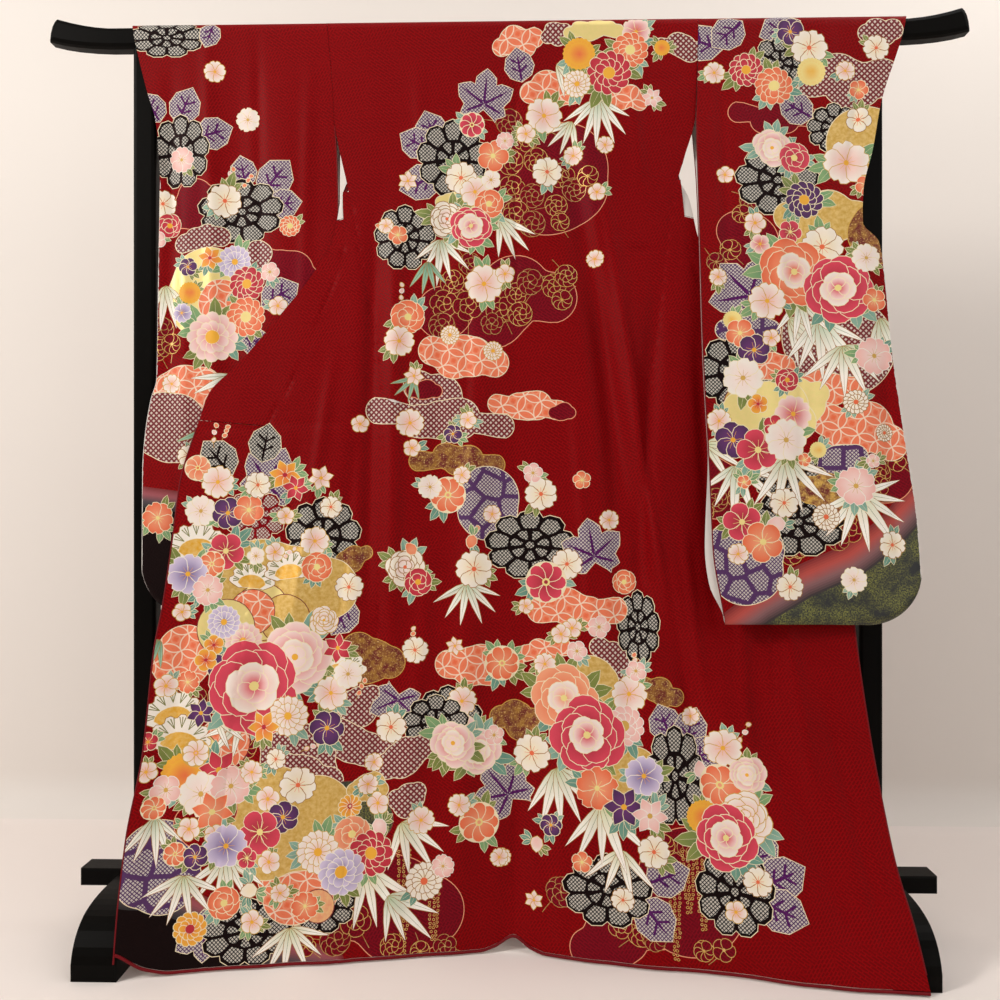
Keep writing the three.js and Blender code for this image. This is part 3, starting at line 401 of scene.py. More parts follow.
def front_outline(shape, top):
    """The spread part of a front panel, up to where it turns behind."""
    seam = lambda v: read(shape["seam"], "z", v, "x")
    overlap = lambda v: read(shape["overlap"], "z", v, "x")
    a, b = seam(np.array([HEM_LEVEL]))[0], overlap(np.array([HEM_LEVEL]))[0]
    inner = up_line(seam, hem_height(a), top)
    outer = up_line(overlap, hem_height(b), top)
    return joined(hem_line(a, b), outer, run([outer[-1], inner[-1]]), inner[::-1])


def turned_outline(shape, bottom):
    seam = lambda v: read(shape["seam"], "z", np.minimum(v, TABLE_TOP), "x")
    overlap = lambda v: read(shape["overlap"], "z", np.minimum(v, TABLE_TOP), "x")
    inner, outer = up_line(seam, bottom, RIDGE), up_line(overlap, bottom, RIDGE)
    return joined(run([inner[0], outer[0]]), outer, run([outer[-1], inner[-1]]), inner[::-1])


def okumi_outline(shape):
    overlap = lambda v: read(shape["overlap"], "z", v, "x")
    edge = lambda v: read(shape["edge"], "z", v, "x")
    a, b = overlap(np.array([HEM_LEVEL]))[0], edge(np.array([HEM_LEVEL]))[0]
    inner = up_line(overlap, hem_height(a), shape["collar"]["seam"][0] - 1)
    outer = up_line(edge, hem_height(b), shape["collar"]["z"][0] - 1)
    return joined(hem_line(a, b), outer, run([outer[-1], inner[-1]]), inner[::-1])


def sleeve_outline(sleeve):
    near_inner = up_line(lambda v: sleeve_inner(sleeve, np.minimum(v, TABLE_TOP)), sleeve["bottom"], RIDGE)
    outer_x = read(sleeve["outer_near"], "z", sleeve["bottom"], "x")
    x = outer_x - sleeve["side"] * np.linspace(0, sleeve["corner"], 22)
    corner = np.stack([x, sleeve_foot(sleeve, x)], -1)
    foot = run([near_inner[0], corner[-1]])
    near_outer = up_line(lambda v: read(sleeve["outer_near"], "z", np.minimum(v, TABLE_TOP), "x"),
                         corner[0, 1], RIDGE)
    far_outer = up_line(lambda v: read(sleeve["outer_far"], "z", np.minimum(v, TABLE_TOP), "x"),
                        corner[0, 1], RIDGE)
    flip = lambda line: np.stack([line[:, 0], 2 * RIDGE - line[:, 1]], -1)
    return joined(foot, corner[::-1], near_outer, flip(far_outer[::-1]), flip(corner), flip(foot[::-1]),
                  flip(near_inner), near_inner[::-1])


# ---------------------------------------------------------------- dyes
def dye(code):
    """A colour written as sRGB hex, as the scene's own linear numbers."""
    channels = [int(code[i:i + 2], 16) / 255 for i in (1, 3, 5)]
    return tuple(c / 12.92 if c <= 0.04045 else ((c + 0.055) / 1.055) ** 2.4 for c in channels)


RED = dye("#740005")
DARK_RED = dye("#74030f")
WINE = dye("#6a0718")
WHITE = dye("#f4ece0")
CREAM = dye("#f3e3bd")
PINK = dye("#efb6ac")
PALE_PINK = dye("#f6dcd4")
ROSE = dye("#d93b50")
CRIMSON = dye("#b8152d")
ORANGE = dye("#e9683b")
APRICOT = dye("#f0a077")
YELLOW = dye("#efae2b")
STRAW = dye("#f0dc8c")
GOLD = dye("#d3a64a")
OLD_GOLD = dye("#a8772f")
PURPLE = dye("#4b1a58")
VIOLET = dye("#6e5a98")
LILAC = dye("#d9cbe4")
BLACK = dye("#050506")
MOSS = dye("#7a7a34")
GREEN = dye("#4f8263")
JADE = dye("#9cc3a6")

# Finishes of the print, by material slot.
SILK, KANOKO, SHIPPO, LEAF_GOLD, PAINT, BURNISHED, MOSSY, NETTED, FINE = range(9)


# ---------------------------------------------------------------- drawing on cloth
class Design:
    """What is drawn on one cloth in its flat coordinates, each shape over the ones before."""

    def __init__(self, depth):
        self.depth = depth
        self.shapes = []

    def add(self, outline, finish, inner, outer=None, centre=None, reach=1.0, power=1.0):
        """A closed outline. Its dye runs from `inner` at `centre` to `outer` at `reach` from it."""
        outline = np.asarray(outline, float)
        middle = outline.mean(0) if centre is None else centre
        self.shapes.append(dict(outline=outline, finish=finish, inner=inner, outer=outer or inner,
                                centre=middle, reach=reach, power=power))

    def spot(self, px, py):
        """Where a place in the picture falls on this cloth."""
        sine, cosine = math.sin(CAMERA_YAW), math.cos(CAMERA_YAW)
        across, up = (px - IMAGE / 2) / FOCAL, (IMAGE / 2 - py) / FOCAL
        ahead = (-sine + across * cosine, cosine + across * sine)
        y = -SHOULDER_Y
        for _ in range(12):
            t = (y - CAMERA_AT[1]) / ahead[1]
            x, z = CAMERA_AT[0] + t * ahead[0], CAMERA_AT[2] + t * up
            y = float(self.depth(np.array([x]), np.array([min(z, SHOULDER_Z)]))[0])
        return np.array([x, z])


def turned(points, angle, at=(0, 0), size=1.0):
    """Points turned anticlockwise by an angle in degrees, grown and moved."""
    c, s = math.cos(math.radians(angle)), math.sin(math.radians(angle))
    points = np.asarray(points, float) * size
    return np.stack([points[:, 0] * c - points[:, 1] * s, points[:, 0] * s + points[:, 1] * c], -1) + at


def anticlockwise(outline):
    a, b = outline, np.roll(outline, -1, 0)
    return np.sum(a[:, 0] * b[:, 1] - b[:, 0] * a[:, 1]) > 0


def grown(outline, by):
    """The outline moved out along its own normals."""
    ahead = np.roll(outline, -1, 0) - np.roll(outline, 1, 0)
    length = np.maximum(np.hypot(*ahead.T), 1e-9)[:, None]
    normal = np.stack([ahead[:, 1], -ahead[:, 0]], -1) / length
    return outline + normal * by * (1 if anticlockwise(outline) else -1)


def both_sides(half):
    """A closed outline from the points of its right half, from foot to tip."""
    half = np.asarray(half, float)
    mirrored = half[::-1] * (-1, 1)
    if half[-1][0] == 0:
        mirrored = mirrored[1:]
    if half[0][0] == 0:
        mirrored = mirrored[:-1]
    return np.concatenate([half, mirrored])


# Petals with their foot at the origin and their tip at about (0, 1).
PETALS = {
    "plum": both_sides([(0, 0), (0.2, 0.2), (0.38, 0.4), (0.46, 0.62), (0.4, 0.84), (0.22, 0.98), (0, 1.02)]),
    "cherry": both_sides([(0, 0), (0.2, 0.24), (0.4, 0.5), (0.43, 0.72), (0.32, 0.92), (0.13, 1.02),
                          (0, 0.88)]),
    "daisy": both_sides([(0, 0), (0.1, 0.3), (0.19, 0.65), (0.19, 0.86), (0.1, 1.0), (0, 1.03)]),
    "kiku": both_sides([(0, 0.1), (0.13, 0.4), (0.2, 0.72), (0.17, 0.92), (0, 1.02)]),
    "camellia": both_sides([(0, 0), (0.34, 0.2), (0.52, 0.48), (0.5, 0.74), (0.3, 0.94), (0, 1.0)]),
    "star": both_sides([(0, 0), (0.22, 0.3), (0.3, 0.55), (0.18, 0.82), (0, 1.08)]),
}
LINE = 1.2                        # half-hidden width of the fine line round each shape


def petals(design, at, radius, form, count, inner, outer, line, turn, power=1.0, width=1.0, reach=1.0):
    shape = PETALS[form] * (radius * width, radius)
    for k in range(count):
        outline = turned(shape, turn + 360 * k / count, at)
        design.add(grown(outline, LINE), PAINT, line)
        design.add(outline, PAINT, inner, outer, at, radius * reach, power)


def disc(design, at, radius, finish, inner, outer=None, sides=10):
    angles = np.linspace(0, 2 * np.pi, sides, endpoint=False)
    outline = np.stack([np.cos(angles), np.sin(angles)], -1) * radius + at
    design.add(outline, finish, inner, outer, at, radius)


def stamens(design, at, length, count, colour, turn):
    for k in range(count):
        sliver = [(-0.35, length * 0.2), (0.35, length * 0.2), (0.25, length), (-0.25, length)]
        design.add(turned(sliver, turn + 360 * (k + 0.5) / count, at), PAINT, colour)


# Flowers: the dyes of each are (foot of the petal, tip of the petal, line, middle).
def plum(design, at, radius, dyes, turn, rng):
    petals(design, at, radius, "plum", 5, *dyes[:3], turn, 1.3, 1.02)
    stamens(design, at, radius * 0.5, 10, dyes[3], turn)
    disc(design, at, radius * 0.16, PAINT, dyes[3])


def cherry(design, at, radius, dyes, turn, rng):
    petals(design, at, radius, "cherry", 5, *dyes[:3], turn, 1.2, 1.25)
    stamens(design, at, radius * 0.42, 10, dyes[3], turn)
    disc(design, at, radius * 0.13, PAINT, dyes[3])


def round_flower(design, at, radius, dyes, turn, rng):
    """Eight petals in a ring with a contrasting rim."""
    disc(design, at, radius * 1.04, PAINT, dyes[2], sides=24)
    petals(design, at, radius * 0.97, "plum", 8, *dyes[:3], turn, 1.0, 0.74)
    disc(design, at, radius * 0.2, PAINT, dyes[3])
    disc(design, at, radius * 0.1, PAINT, dyes[0])


def kiku(design, at, radius, dyes, turn, rng):
    petals(design, at, radius, "kiku", 16, *dyes[:3], turn, 1.0, 0.95)
    petals(design, at, radius * 0.64, "kiku", 12, *dyes[:3], turn + 9, 0.8, 1.1)
    disc(design, at, radius * 0.2, PAINT, dyes[3])


def daisy(design, at, radius, dyes, turn, rng):
    petals(design, at, radius, "daisy", 12, *dyes[:3], turn, 0.9, 1.2)
    disc(design, at, radius * 0.25, PAINT, dyes[3])
    disc(design, at, radius * 0.12, PAINT, dyes[2])


def star(design, at, radius, dyes, turn, rng):
    petals(design, at, radius, "star", 6, *dyes[:3], turn, 1.1, 1.1)
    disc(design, at, radius * 0.16, PAINT, dyes[3])


def bell(design, at, radius, dyes, turn, rng):
    petals(design, at, radius, "camellia", 6, *dyes[:3], turn, 1.2, 0.85)
    stamens(design, at, radius * 0.5, 6, dyes[3], turn)
    disc(design, at, radius * 0.14, PAINT, dyes[3])


def peony(design, at, radius, dyes, turn, rng):
    """Broad notched petals, then paler cupped ones round a small gold heart."""
    for k, (count, size, width, form) in enumerate([(8, 1.0, 0.94, "plum"), (7, 0.78, 0.9, "camellia"),
                                                    (5, 0.54, 1.0, "camellia"), (4, 0.34, 1.1, "camellia")]):
        for j in range(count):
            angle = turn + 360 * (j + 0.5 * (k % 2)) / count + rng.uniform(-8, 8)
            length = radius * size * rng.uniform(0.88, 1.08)
            outline = turned(PETALS[form] * (length * width, length), angle, at)
            inner, outer = [dyes[:2], dyes[:2], (PINK, WHITE), (dyes[1], PALE_PINK)][k]
            design.add(grown(outline, LINE * 1.1), PAINT, dyes[2])
            design.add(outline, PAINT, inner, outer, at, length, 1.6)
    disc(design, at, radius * 0.1, PAINT, dyes[3])


def camellia(design, at, radius, dyes, turn, rng):
    petals(design, at, radius, "camellia", 6, *dyes[:3], turn, 1.2, 1.1)
    petals(design, at, radius * 0.6, "camellia", 5, *dyes[:3], turn + 30, 1.2, 1.0)
    disc(design, at, radius * 0.22, PAINT, dyes[3])


def bud(design, at, radius, dyes, turn, rng):
    shape = both_sides([(0, -0.6), (0.5, -0.3), (0.62, 0.2), (0.35, 0.75), (0, 1.0)])
    outline = turned(shape * radius, turn, at)
    design.add(grown(outline, LINE), PAINT, dyes[2])
    design.add(outline, PAINT, dyes[0], dyes[1], at, radius, 1.2)


# The dyes that flowers come in.
SCHEMES = {
    "white": (PINK, WHITE, GOLD, YELLOW),
    "pale": (PALE_PINK, WHITE, CREAM, GOLD),
    "blush": (ROSE, PALE_PINK, CREAM, YELLOW),
    "pink": (PALE_PINK, PINK, WHITE, GOLD),
    "rose": (dye("#a5132c"), dye("#db3c55"), CREAM, STRAW),
    "red": (ROSE, CRIMSON, CREAM, YELLOW),
    "orange": (ORANGE, APRICOT, CREAM, STRAW),
    "coral": (APRICOT, ORANGE, CREAM, STRAW),
    "amber": (ORANGE, YELLOW, CREAM, CRIMSON),
    "yellow": (YELLOW, STRAW, OLD_GOLD, ORANGE),
    "purple": (dye("#6b2a72"), dye("#42134c"), CREAM, YELLOW),
    "ivory": (CREAM, WHITE, OLD_GOLD, ORANGE),
    "lilac": (VIOLET, LILAC, WHITE, YELLOW),
}


# ---------------------------------------------------------------- leaves
def leaf(design, at, length, angle, dark, light, width=0.36, line=CREAM):
    half = np.array([(0, 0), (0.55, 0.2), (1.0, 0.48), (0.72, 0.76), (0, 1.0)])
    whole = both_sides(half * (length * width / 2, length))
    design.add(grown(turned(whole, angle, at), LINE * 0.8), PAINT, line)
    design.add(turned(whole, angle, at), PAINT, dark, light, at, length, 1.0)
    one = half * (length * width / 2, length)
    design.add(turned(one, angle, at), PAINT, mix(np.array(dark), np.array(light), 0.35), light, at, length)
    rib = [(-0.3, 0), (0.3, 0), (0.15, length * 0.86), (-0.15, length * 0.86)]
    design.add(turned(rib, angle, at), PAINT, line)


TEAL = dye("#4a7d70")
OLIVE = dye("#5d6a25")
LEAF_DYES = [(TEAL, dye("#8fb5a0")), (TEAL, dye("#6f9d88")), (GREEN, dye("#86a96d")),
             (OLIVE, dye("#7f8a3c")), (dye("#3f5a2a"), dye("#8a9446"))]


def leaves(design, at, length, angle, rng, count=3, spread=38):
    dark, light = rng.choice(LEAF_DYES)
    for k in range(count):
        lean = spread * (k - (count - 1) / 2)
        leaf(design, at, length * rng.uniform(0.85, 1.1) * (1 - 0.12 * abs(k - (count - 1) / 2)),
             angle + lean, dark, light, 0.42)


def bamboo(design, at, length, angle, count, spread, rng, dark=JADE, light=WHITE):
    """A fan of long blades, green at the foot and white at the tip."""
    half = np.array([(0, 0), (0.7, 0.1), (1.0, 0.28), (0.85, 0.55), (0.4, 0.82), (0, 1.0)])
    order = sorted(range(count), key=lambda k: -abs(k - (count - 1) / 2))
    for k in order:
        lean = angle + spread * (k - (count - 1) / 2) + rng.uniform(-4, 4)
        size = length * rng.uniform(0.98, 1.2) * (1 - 0.07 * abs(k - (count - 1) / 2))
        blade = both_sides(half * (size * 0.078, size))
        design.add(grown(turned(blade, lean, at), 0.9), PAINT, OLD_GOLD)
        design.add(turned(blade, lean, at), PAINT, dark, light, at, size * 0.6, 0.7)
        rib = [(-0.35, size * 0.05), (0.35, size * 0.05), (0.12, size * 0.92), (-0.12, size * 0.92)]
        design.add(turned(rib, lean, at), PAINT, OLIVE)


# ---------------------------------------------------------------- clouds and tie-dyed leaves
def lobed(width, height, lobes, rng):
    """A cloud's outline: the union of round lobes strung along its length."""
    places = []
    for k in range(lobes):
        t = (k + 0.5) / lobes * 2 - 1
        size = height / 2 * (1 - 0.45 * abs(t) ** 1.5) * rng.uniform(0.78, 1.0)
        places.append((t * (width / 2 - size * 0.8), rng.uniform(-0.16, 0.16) * height, size))
    places.append((0, 0, height * 0.42))
    angles = np.linspace(0, 2 * np.pi, 84, endpoint=False)
    theta = np.arctan2(height * np.sin(angles), width * np.cos(angles))
    reach = np.full(len(theta), height * 0.3)
    for cx, cy, size in places:
        along = cx * np.cos(theta) + cy * np.sin(theta)
        inside = size ** 2 - (cx * cx + cy * cy - along ** 2)
        reach = np.where(inside > 0, np.maximum(reach, along + np.sqrt(np.maximum(inside, 0))), reach)
    soft = (np.roll(reach, 1) + 2 * reach + np.roll(reach, -1)) / 4
    return np.stack([soft * np.cos(theta), soft * np.sin(theta)], -1)


def cloud(design, at, width, height, lobes, finish, inner, outer=None, line=CREAM, seed=0, angle=0):
    rng = random.Random(seed)
    outline = turned(lobed(width, height, lobes, rng), angle, at)
    design.add(grown(outline, 1.3), PAINT, line)
    design.add(outline, finish, inner, outer, at, width / 2)


def palm(design, at, radius, colour, vein, turn, lobes=5, line=CREAM, spread=230):
    """A tie-dyed leaf of five pointed lobes with dark veins."""
    step = spread / (lobes - 1) / 2
    points = []
    for k in range(lobes):
        a = turn + spread * (k / (lobes - 1) - 0.5)
        tip = 1.0 if k == (lobes - 1) // 2 else (0.92 if k in (1, lobes - 2) else 0.7)
        for lean, reach in ((-step, 0.62), (-step * 0.7, tip * 0.8), (-step * 0.3, tip * 0.9), (0, tip),
                            (step * 0.3, tip * 0.9), (step * 0.7, tip * 0.8)):
            points.append((math.radians(a + lean), reach))
    points.append((math.radians(turn + spread / 2 + step), 0.5))
    points.append((math.radians(turn + 180), 0.16))
    points.append((math.radians(turn - spread / 2 - step), 0.5))
    outline = np.array([(-math.sin(a) * r, math.cos(a) * r) for a, r in points]) * radius + at
    design.add(grown(outline, 1.2), PAINT, line)
    design.add(outline, FINE, colour)
    for k in range(lobes):
        a = turn + spread * (k / (lobes - 1) - 0.5)
        tip = 0.82 if k in (1, 2, 3) else 0.56
        rib = both_sides([(0, 0), (0.04, 0.1), (0.03, 0.5), (0, tip)]) * radius
        design.add(turned(rib, a, at), SILK, vein)


def net(design, at, width, height, colour, seed, line=CREAM):
    """A tie-dyed cloud crossed by an open net of dark veins."""
    cloud(design, at, width, height, 5, NETTED, colour, line=line, seed=seed)


def pine(design, at, radius, angle, rng, rim=WHITE, heart=YELLOW):
    """A fan of pine: scallops of dark needles on cream over a gold foot."""
    points = []
    for k in range(7):
        for lean, reach in ((-11, 0.9), (-4, 1.02), (4, 1.02), (11, 0.9)):
            a = math.radians(-84 + 28 * k + lean)
            points.append((math.sin(a) * reach, math.cos(a) * reach * 0.92 - 0.05))
    points += [(0.55, -0.3), (0, -0.2), (-0.55, -0.3)]
    fan = turned(np.array(points) * radius, angle, at)
    design.add(grown(fan, 1.2), PAINT, OLD_GOLD)
    design.add(fan, PAINT, rim)
    for k in range(7):
        lean = math.radians(-84 + 28 * k)
        foot = turned([(math.sin(lean) * radius * 0.5, math.cos(lean) * radius * 0.46)], angle, at)[0]
        for j in (-1, 0, 1):
            needle = [(-0.5, 0), (0.5, 0), (0.9, radius * 0.36), (-0.9, radius * 0.36)]
            design.add(turned(needle, angle - math.degrees(lean) + 17 * j, foot), PAINT, MOSS)
    inner = turned(np.array([(math.sin(a) * 0.62, math.cos(a) * 0.42 - 0.1)
                             for a in np.linspace(-1.5, 1.5, 11)] + [(0.4, -0.26), (-0.4, -0.26)]) * radius,
                   angle, at)
    design.add(grown(inner, 0.9), PAINT, CREAM)
    design.add(inner, LEAF_GOLD, heart)


def line_flower(design, at, radius, turn, ground, colour=GOLD, count=5):
    """A flower in gold line alone, with the ground showing inside it."""
    for k in range(count):
        outline = turned(PETALS["plum"] * (radius * 1.1, radius), turn + 360 * k / count, at)
        design.add(grown(outline, 1.0), LEAF_GOLD, colour)
        design.add(outline, SILK, ground)
    disc(design, at, radius * 0.16, LEAF_GOLD, colour, sides=8)


def sprig(design, at, length, angle, rng, colour=OLD_GOLD):
    """A thin stem, in gold line."""
    bend = rng.uniform(-0.25, 0.25)
    for k in range(4):
        a = np.array([bend * length * (k / 4) ** 2, length * k / 4])
        b = np.array([bend * length * ((k + 1) / 4) ** 2, length * (k + 1) / 4])
        stroke = np.array([a + (-0.5, 0), a + (0.5, 0), b + (0.5, 0), b + (-0.5, 0)])
        design.add(turned(stroke, angle, at), LEAF_GOLD, colour)


def kanoko_leaf(design, at, length, angle, colour=PURPLE, line=CREAM):
    """A tie-dyed leaf with one dark, stepped midrib and side veins."""
    whole = both_sides([(0, 0), (0.3, 0.16), (0.42, 0.42), (0.34, 0.72), (0, 1.0)]) * length
    design.add(grown(turned(whole, angle, at), 1.2), PAINT, line)
    design.add(turned(whole, angle, at), FINE, colour)
    rib = both_sides([(0, 0.02), (0.035, 0.1), (0.03, 0.6), (0, 0.84)]) * length
    design.add(turned(rib, angle, at), SILK, colour)
    for side in (-1, 1):
        for up in (0.26, 0.5):
            vein = np.array([(0, up), (side * 0.22, up + 0.16), (side * 0.2, up + 0.21), (0, up + 0.06)])
            design.add(turned(vein * length, angle, at), SILK, colour)


def kanoko_mum(design, at, width, height, colour, turn, seed, line=CREAM, count=9):
    """A tie-dyed chrysanthemum: petals of dots parted by dark veins, in two rings."""
    rng = random.Random(seed)
    squash = np.array([width / 2, height / 2])
    points = []
    for k in range(count):
        for lean, reach in ((-0.5, 0.86), (-0.32, 0.98), (0, 1.04), (0.32, 0.98)):
            a = math.radians(turn + 360 * (k + lean) / count)
            points.append((-math.sin(a) * reach, math.cos(a) * reach))
    edge = np.array(points)
    design.add(grown(edge * squash + at, 1.3), PAINT, line)
    design.add(edge * squash + at, SILK, colour)
    for inner, outer, shift, gap in ((0.52, 0.98, 0.0, 0.045), (0.17, 0.46, 0.5, 0.05)):
        for k in range(count if inner > 0.3 else count - 2):
            n = count if inner > 0.3 else count - 2
            a = math.radians(turn + 360 * (k + shift) / n)
            half = math.pi / n
            reach = outer * rng.uniform(0.95, 1.02)
            wedge = []
            for side, r in ((-1, inner), (-1, (inner + reach) / 2), (-1, reach * 0.93), (0, reach),
                            (1, reach * 0.93), (1, (inner + reach) / 2), (1, inner)):
                b = a + side * max(half - gap / r, 0.05) * (1 if r < reach * 0.9 else 0.82)
                wedge.append((-math.sin(b) * r, math.cos(b) * r))
            design.add(np.array(wedge) * squash + at, FINE, colour)
    ring = [(math.sin(b) * 0.1, math.cos(b) * 0.1) for b in np.linspace(0, 2 * math.pi, 9)[:-1]]
    design.add(np.array(ring) * squash + at, FINE, colour)


def rosette(design, at, radius, dyes, turn, rng):
    """A full chrysanthemum: two rings of round petals about a dark eye of small drops."""
    petals(design, at, radius, "plum", 12, *dyes[:3], turn, 1.1, 0.62)
    petals(design, at, radius * 0.64, "plum", 10, *dyes[:3], turn + 15, 1.0, 0.7)
    disc(design, at, radius * 0.3, PAINT, dyes[2])
    for k in range(8):
        drop = PETALS["camellia"] * radius * 0.28
        design.add(turned(drop, turn + 45 * k, at), PAINT, dyes[3])


def ball(design, at, radius, dyes, turn, rng):
    """A close yellow bloom with a fringed edge."""
    petals(design, at, radius, "kiku", 22, dyes[0], dyes[1], dyes[1], turn, 0.8, 1.0)
    disc(design, at, radius * 0.75, PAINT, dyes[0], dyes[1], 16)


def wisteria(design, at, length, rng, colour=GOLD):
    """A hanging raceme in gold line: small open loops, thinning to the tip."""
    rows = int(length / 6.5)
    for k in range(rows):
        wide = 9 * (1 - 0.55 * k / rows)
        for side in ((-1, 0, 1) if k < rows * 0.75 else (-0.5, 0.5)):
            spot = at + (side * wide * 0.7 + rng.uniform(-1, 1), -k * 6.5 + rng.uniform(-1, 1))
            loop, lean = PETALS["plum"] * 5.2, 180 + side * 45
            design.add(turned(loop, lean, spot), LEAF_GOLD, colour)
            design.add(turned(loop * 0.6, lean, spot + turned([(0, 1.1)], lean)[0]), SILK, WINE)


def twig(design, at, length, angle, rng):
    """A thin stem with buds along it."""
    bend = rng.uniform(-0.3, 0.3)
    spots = [np.array([bend * length * t * t, length * t]) for t in (0, 0.35, 0.7, 1.0)]
    for a, b in zip(spots[:-1], spots[1:]):
        stroke = np.array([a + (-0.6, 0), a + (0.6, 0), b + (0.6, 0), b + (-0.6, 0)])
        design.add(turned(stroke, angle, at), PAINT, OLD_GOLD)
    for spot in spots[1:]:
        place = turned([spot], angle, at)[0]
        dyes = SCHEMES[rng.choice(("white", "pink", "coral"))]
        bud(design, place, 5.0, dyes, angle + rng.uniform(-50, 50), rng)


FLOWERS = dict(plum=plum, cherry=cherry, round=round_flower, kiku=kiku, daisy=daisy, star=star,
               bell=bell, peony=peony, camellia=camellia, bud=bud, rosette=rosette, ball=ball)


def spray(design, at, spread, items, seed, gap=0.72, tries=60):
    """Flowers strewn over an oval, the large ones first, each kept off the ones before it."""
    rng = random.Random(seed)
    placed = []
    for form, radius, schemes, count in items:
        for _ in range(count):
            for _ in range(tries):
                a, r = rng.uniform(0, 2 * math.pi), math.sqrt(rng.random())
                spot = np.array([at[0] + spread[0] * r * math.cos(a), at[1] + spread[1] * r * math.sin(a)])
                size = radius * rng.uniform(0.88, 1.12)
                if all(np.hypot(*(spot - p)) > gap * (size + q) for p, q, *_ in placed):
                    placed.append((spot, size, form, SCHEMES[rng.choice(schemes)]))
                    break
    for spot, size, form, _ in placed:
        away = math.degrees(math.atan2(*(spot - at)[::-1])) - 90
        if rng.random() < 0.75:
            foot = spot + turned([(0, size * 0.55)], away)[0]
            leaves(design, foot, max(14, size * rng.uniform(0.75, 1.05)), away, rng, rng.choice((2, 3)))
    for spot, size, form, dyes in placed:
        FLOWERS[form](design, spot, size, dyes, rng.uniform(0, 360), rng)


# ---------------------------------------------------------------- cloth meshes
WALL = 0.9                        # from the middle of the cloth to its printed face
BACK = 1.5                        # and to its lining
GRID = 8.0                        # the cloth's own net, between what is drawn on it
LINING, EDGING = 9, 10            # the finishes after those of the print


def inside(outline, points):
    x, y = points[:, 0], points[:, 1]
    a, b = outline, np.roll(outline, -1, 0)
    found = np.zeros(len(points), bool)
    for (x0, y0), (x1, y1) in zip(a, b):
        if y0 != y1:
            crosses = (y0 > y) != (y1 > y)
            found ^= crosses & (x < (x1 - x0) * (y - y0) / (y1 - y0) + x0)
    return found


def leftward(outline):
    """The outline, anticlockwise."""
    return outline if anticlockwise(outline) else outline[::-1]


def edges_of(tris):
    return np.concatenate([tris[:, [0, 1]], tris[:, [1, 2]], tris[:, [2, 0]]])


def unit(vectors):
    return vectors / np.maximum(np.linalg.norm(vectors, axis=1), 1e-9)[:, None]


def corner_dyes(count, colour):
    """The dye at each corner of `count` triangles, with an alpha of 1."""
    dyes = np.ones((count, 3, 4))
    dyes[:, :, :3] = colour
    return dyes


def net_points(outline, step):
    low, high = outline.min(0), outline.max(0)
    xs = np.arange(low[0] + step / 2, high[0], step)
    ys = np.arange(low[1] + step / 2, high[1], step * 1.2)
    points = np.stack(np.meshgrid(xs, ys), -1).reshape(-1, 2)
    points[:, 0] += step / 2 * (np.round((points[:, 1] - low[1]) / (step * 1.2)) % 2)
    return points[inside(outline, points)]


def tops_of(flat, tris, shapes):
    """The last shape that covers each triangle, or -1."""
    middles = flat[tris].mean(1)
    order = np.argsort(middles[:, 1])
    middles = middles[order]
    tops = np.full(len(tris), -1)
    for k, shape in enumerate(shapes):
        ring = shape["outline"]
        first, last = np.searchsorted(middles[:, 1], (ring[:, 1].min(), ring[:, 1].max()))
        part = middles[first:last]
        hit = np.flatnonzero((part[:, 0] > ring[:, 0].min()) & (part[:, 0] < ring[:, 0].max()))
        hit = hit[inside(ring, part[hit])]
        tops[order[first + hit]] = k
    return tops


def triangulated(points, edges, faces):
    """The triangles inside the first face, with every edge kept."""
    verts, _, tris, _, _, owners = delaunay_2d_cdt([Vector(p) for p in points], edges, faces, 1, 1e-3, True)
    tris = np.array([t for t, o in zip(tris, owners) if 0 in o])
    used, tris = np.unique(tris, return_inverse=True)
    return np.array([verts[i][:] for i in used]), tris.reshape(-1, 3)


def cut(outline, shapes, step):
    """The cloth in triangles along every shape's visible edge, and the top shape of each triangle."""
    outline = leftward(outline)
    low, high = outline.min(0) - 1, outline.max(0) + 1
    near = [s for s in shapes if (s["outline"].max(0) > low).all() and (s["outline"].min(0) < high).all()]
    points, faces = [outline], [list(range(len(outline)))]
    count = len(outline)
    for shape in near:
        points.append(leftward(shape["outline"]))
        faces.append(list(range(count, count + len(points[-1]))))
        count += len(points[-1])
    flat, tris = triangulated(np.concatenate(points), [], faces)
    tops = tops_of(flat, tris, near)
    # Once more with only the edges between two different shapes.
    edges = np.sort(edges_of(tris), 1)
    order = np.lexsort((edges[:, 1], edges[:, 0]))
    edges, sides = edges[order], np.tile(tops, 3)[order]
    seen = np.flatnonzero((edges[1:] == edges[:-1]).all(1) & (sides[1:] != sides[:-1]))
    used, kept = np.unique(edges[seen], return_inverse=True)
    kept = kept.reshape(-1, 2) + len(outline)
    points = np.concatenate([outline, flat[used], net_points(outline, step)])
    flat, tris = triangulated(points, kept.tolist(), [list(range(len(outline)))])
    return flat, tris, tops_of(flat, tris, near), near


def rim_of(triangles):
    """The edges with a triangle on one side only, each in its triangle's direction."""
    edges = edges_of(triangles)
    key = edges.min(1) * (triangles.max() + 1) + edges.max(1)
    _, first, counts = np.unique(key, return_index=True, return_counts=True)
    return edges[first[counts == 1]]


def surface_normals(surface, flat, step=1.0):
    x, v = flat.T
    across = surface(x + step, v) - surface(x - step, v)
    along = surface(x, v + step) - surface(x, v - step)
    return unit(np.cross(across, along))


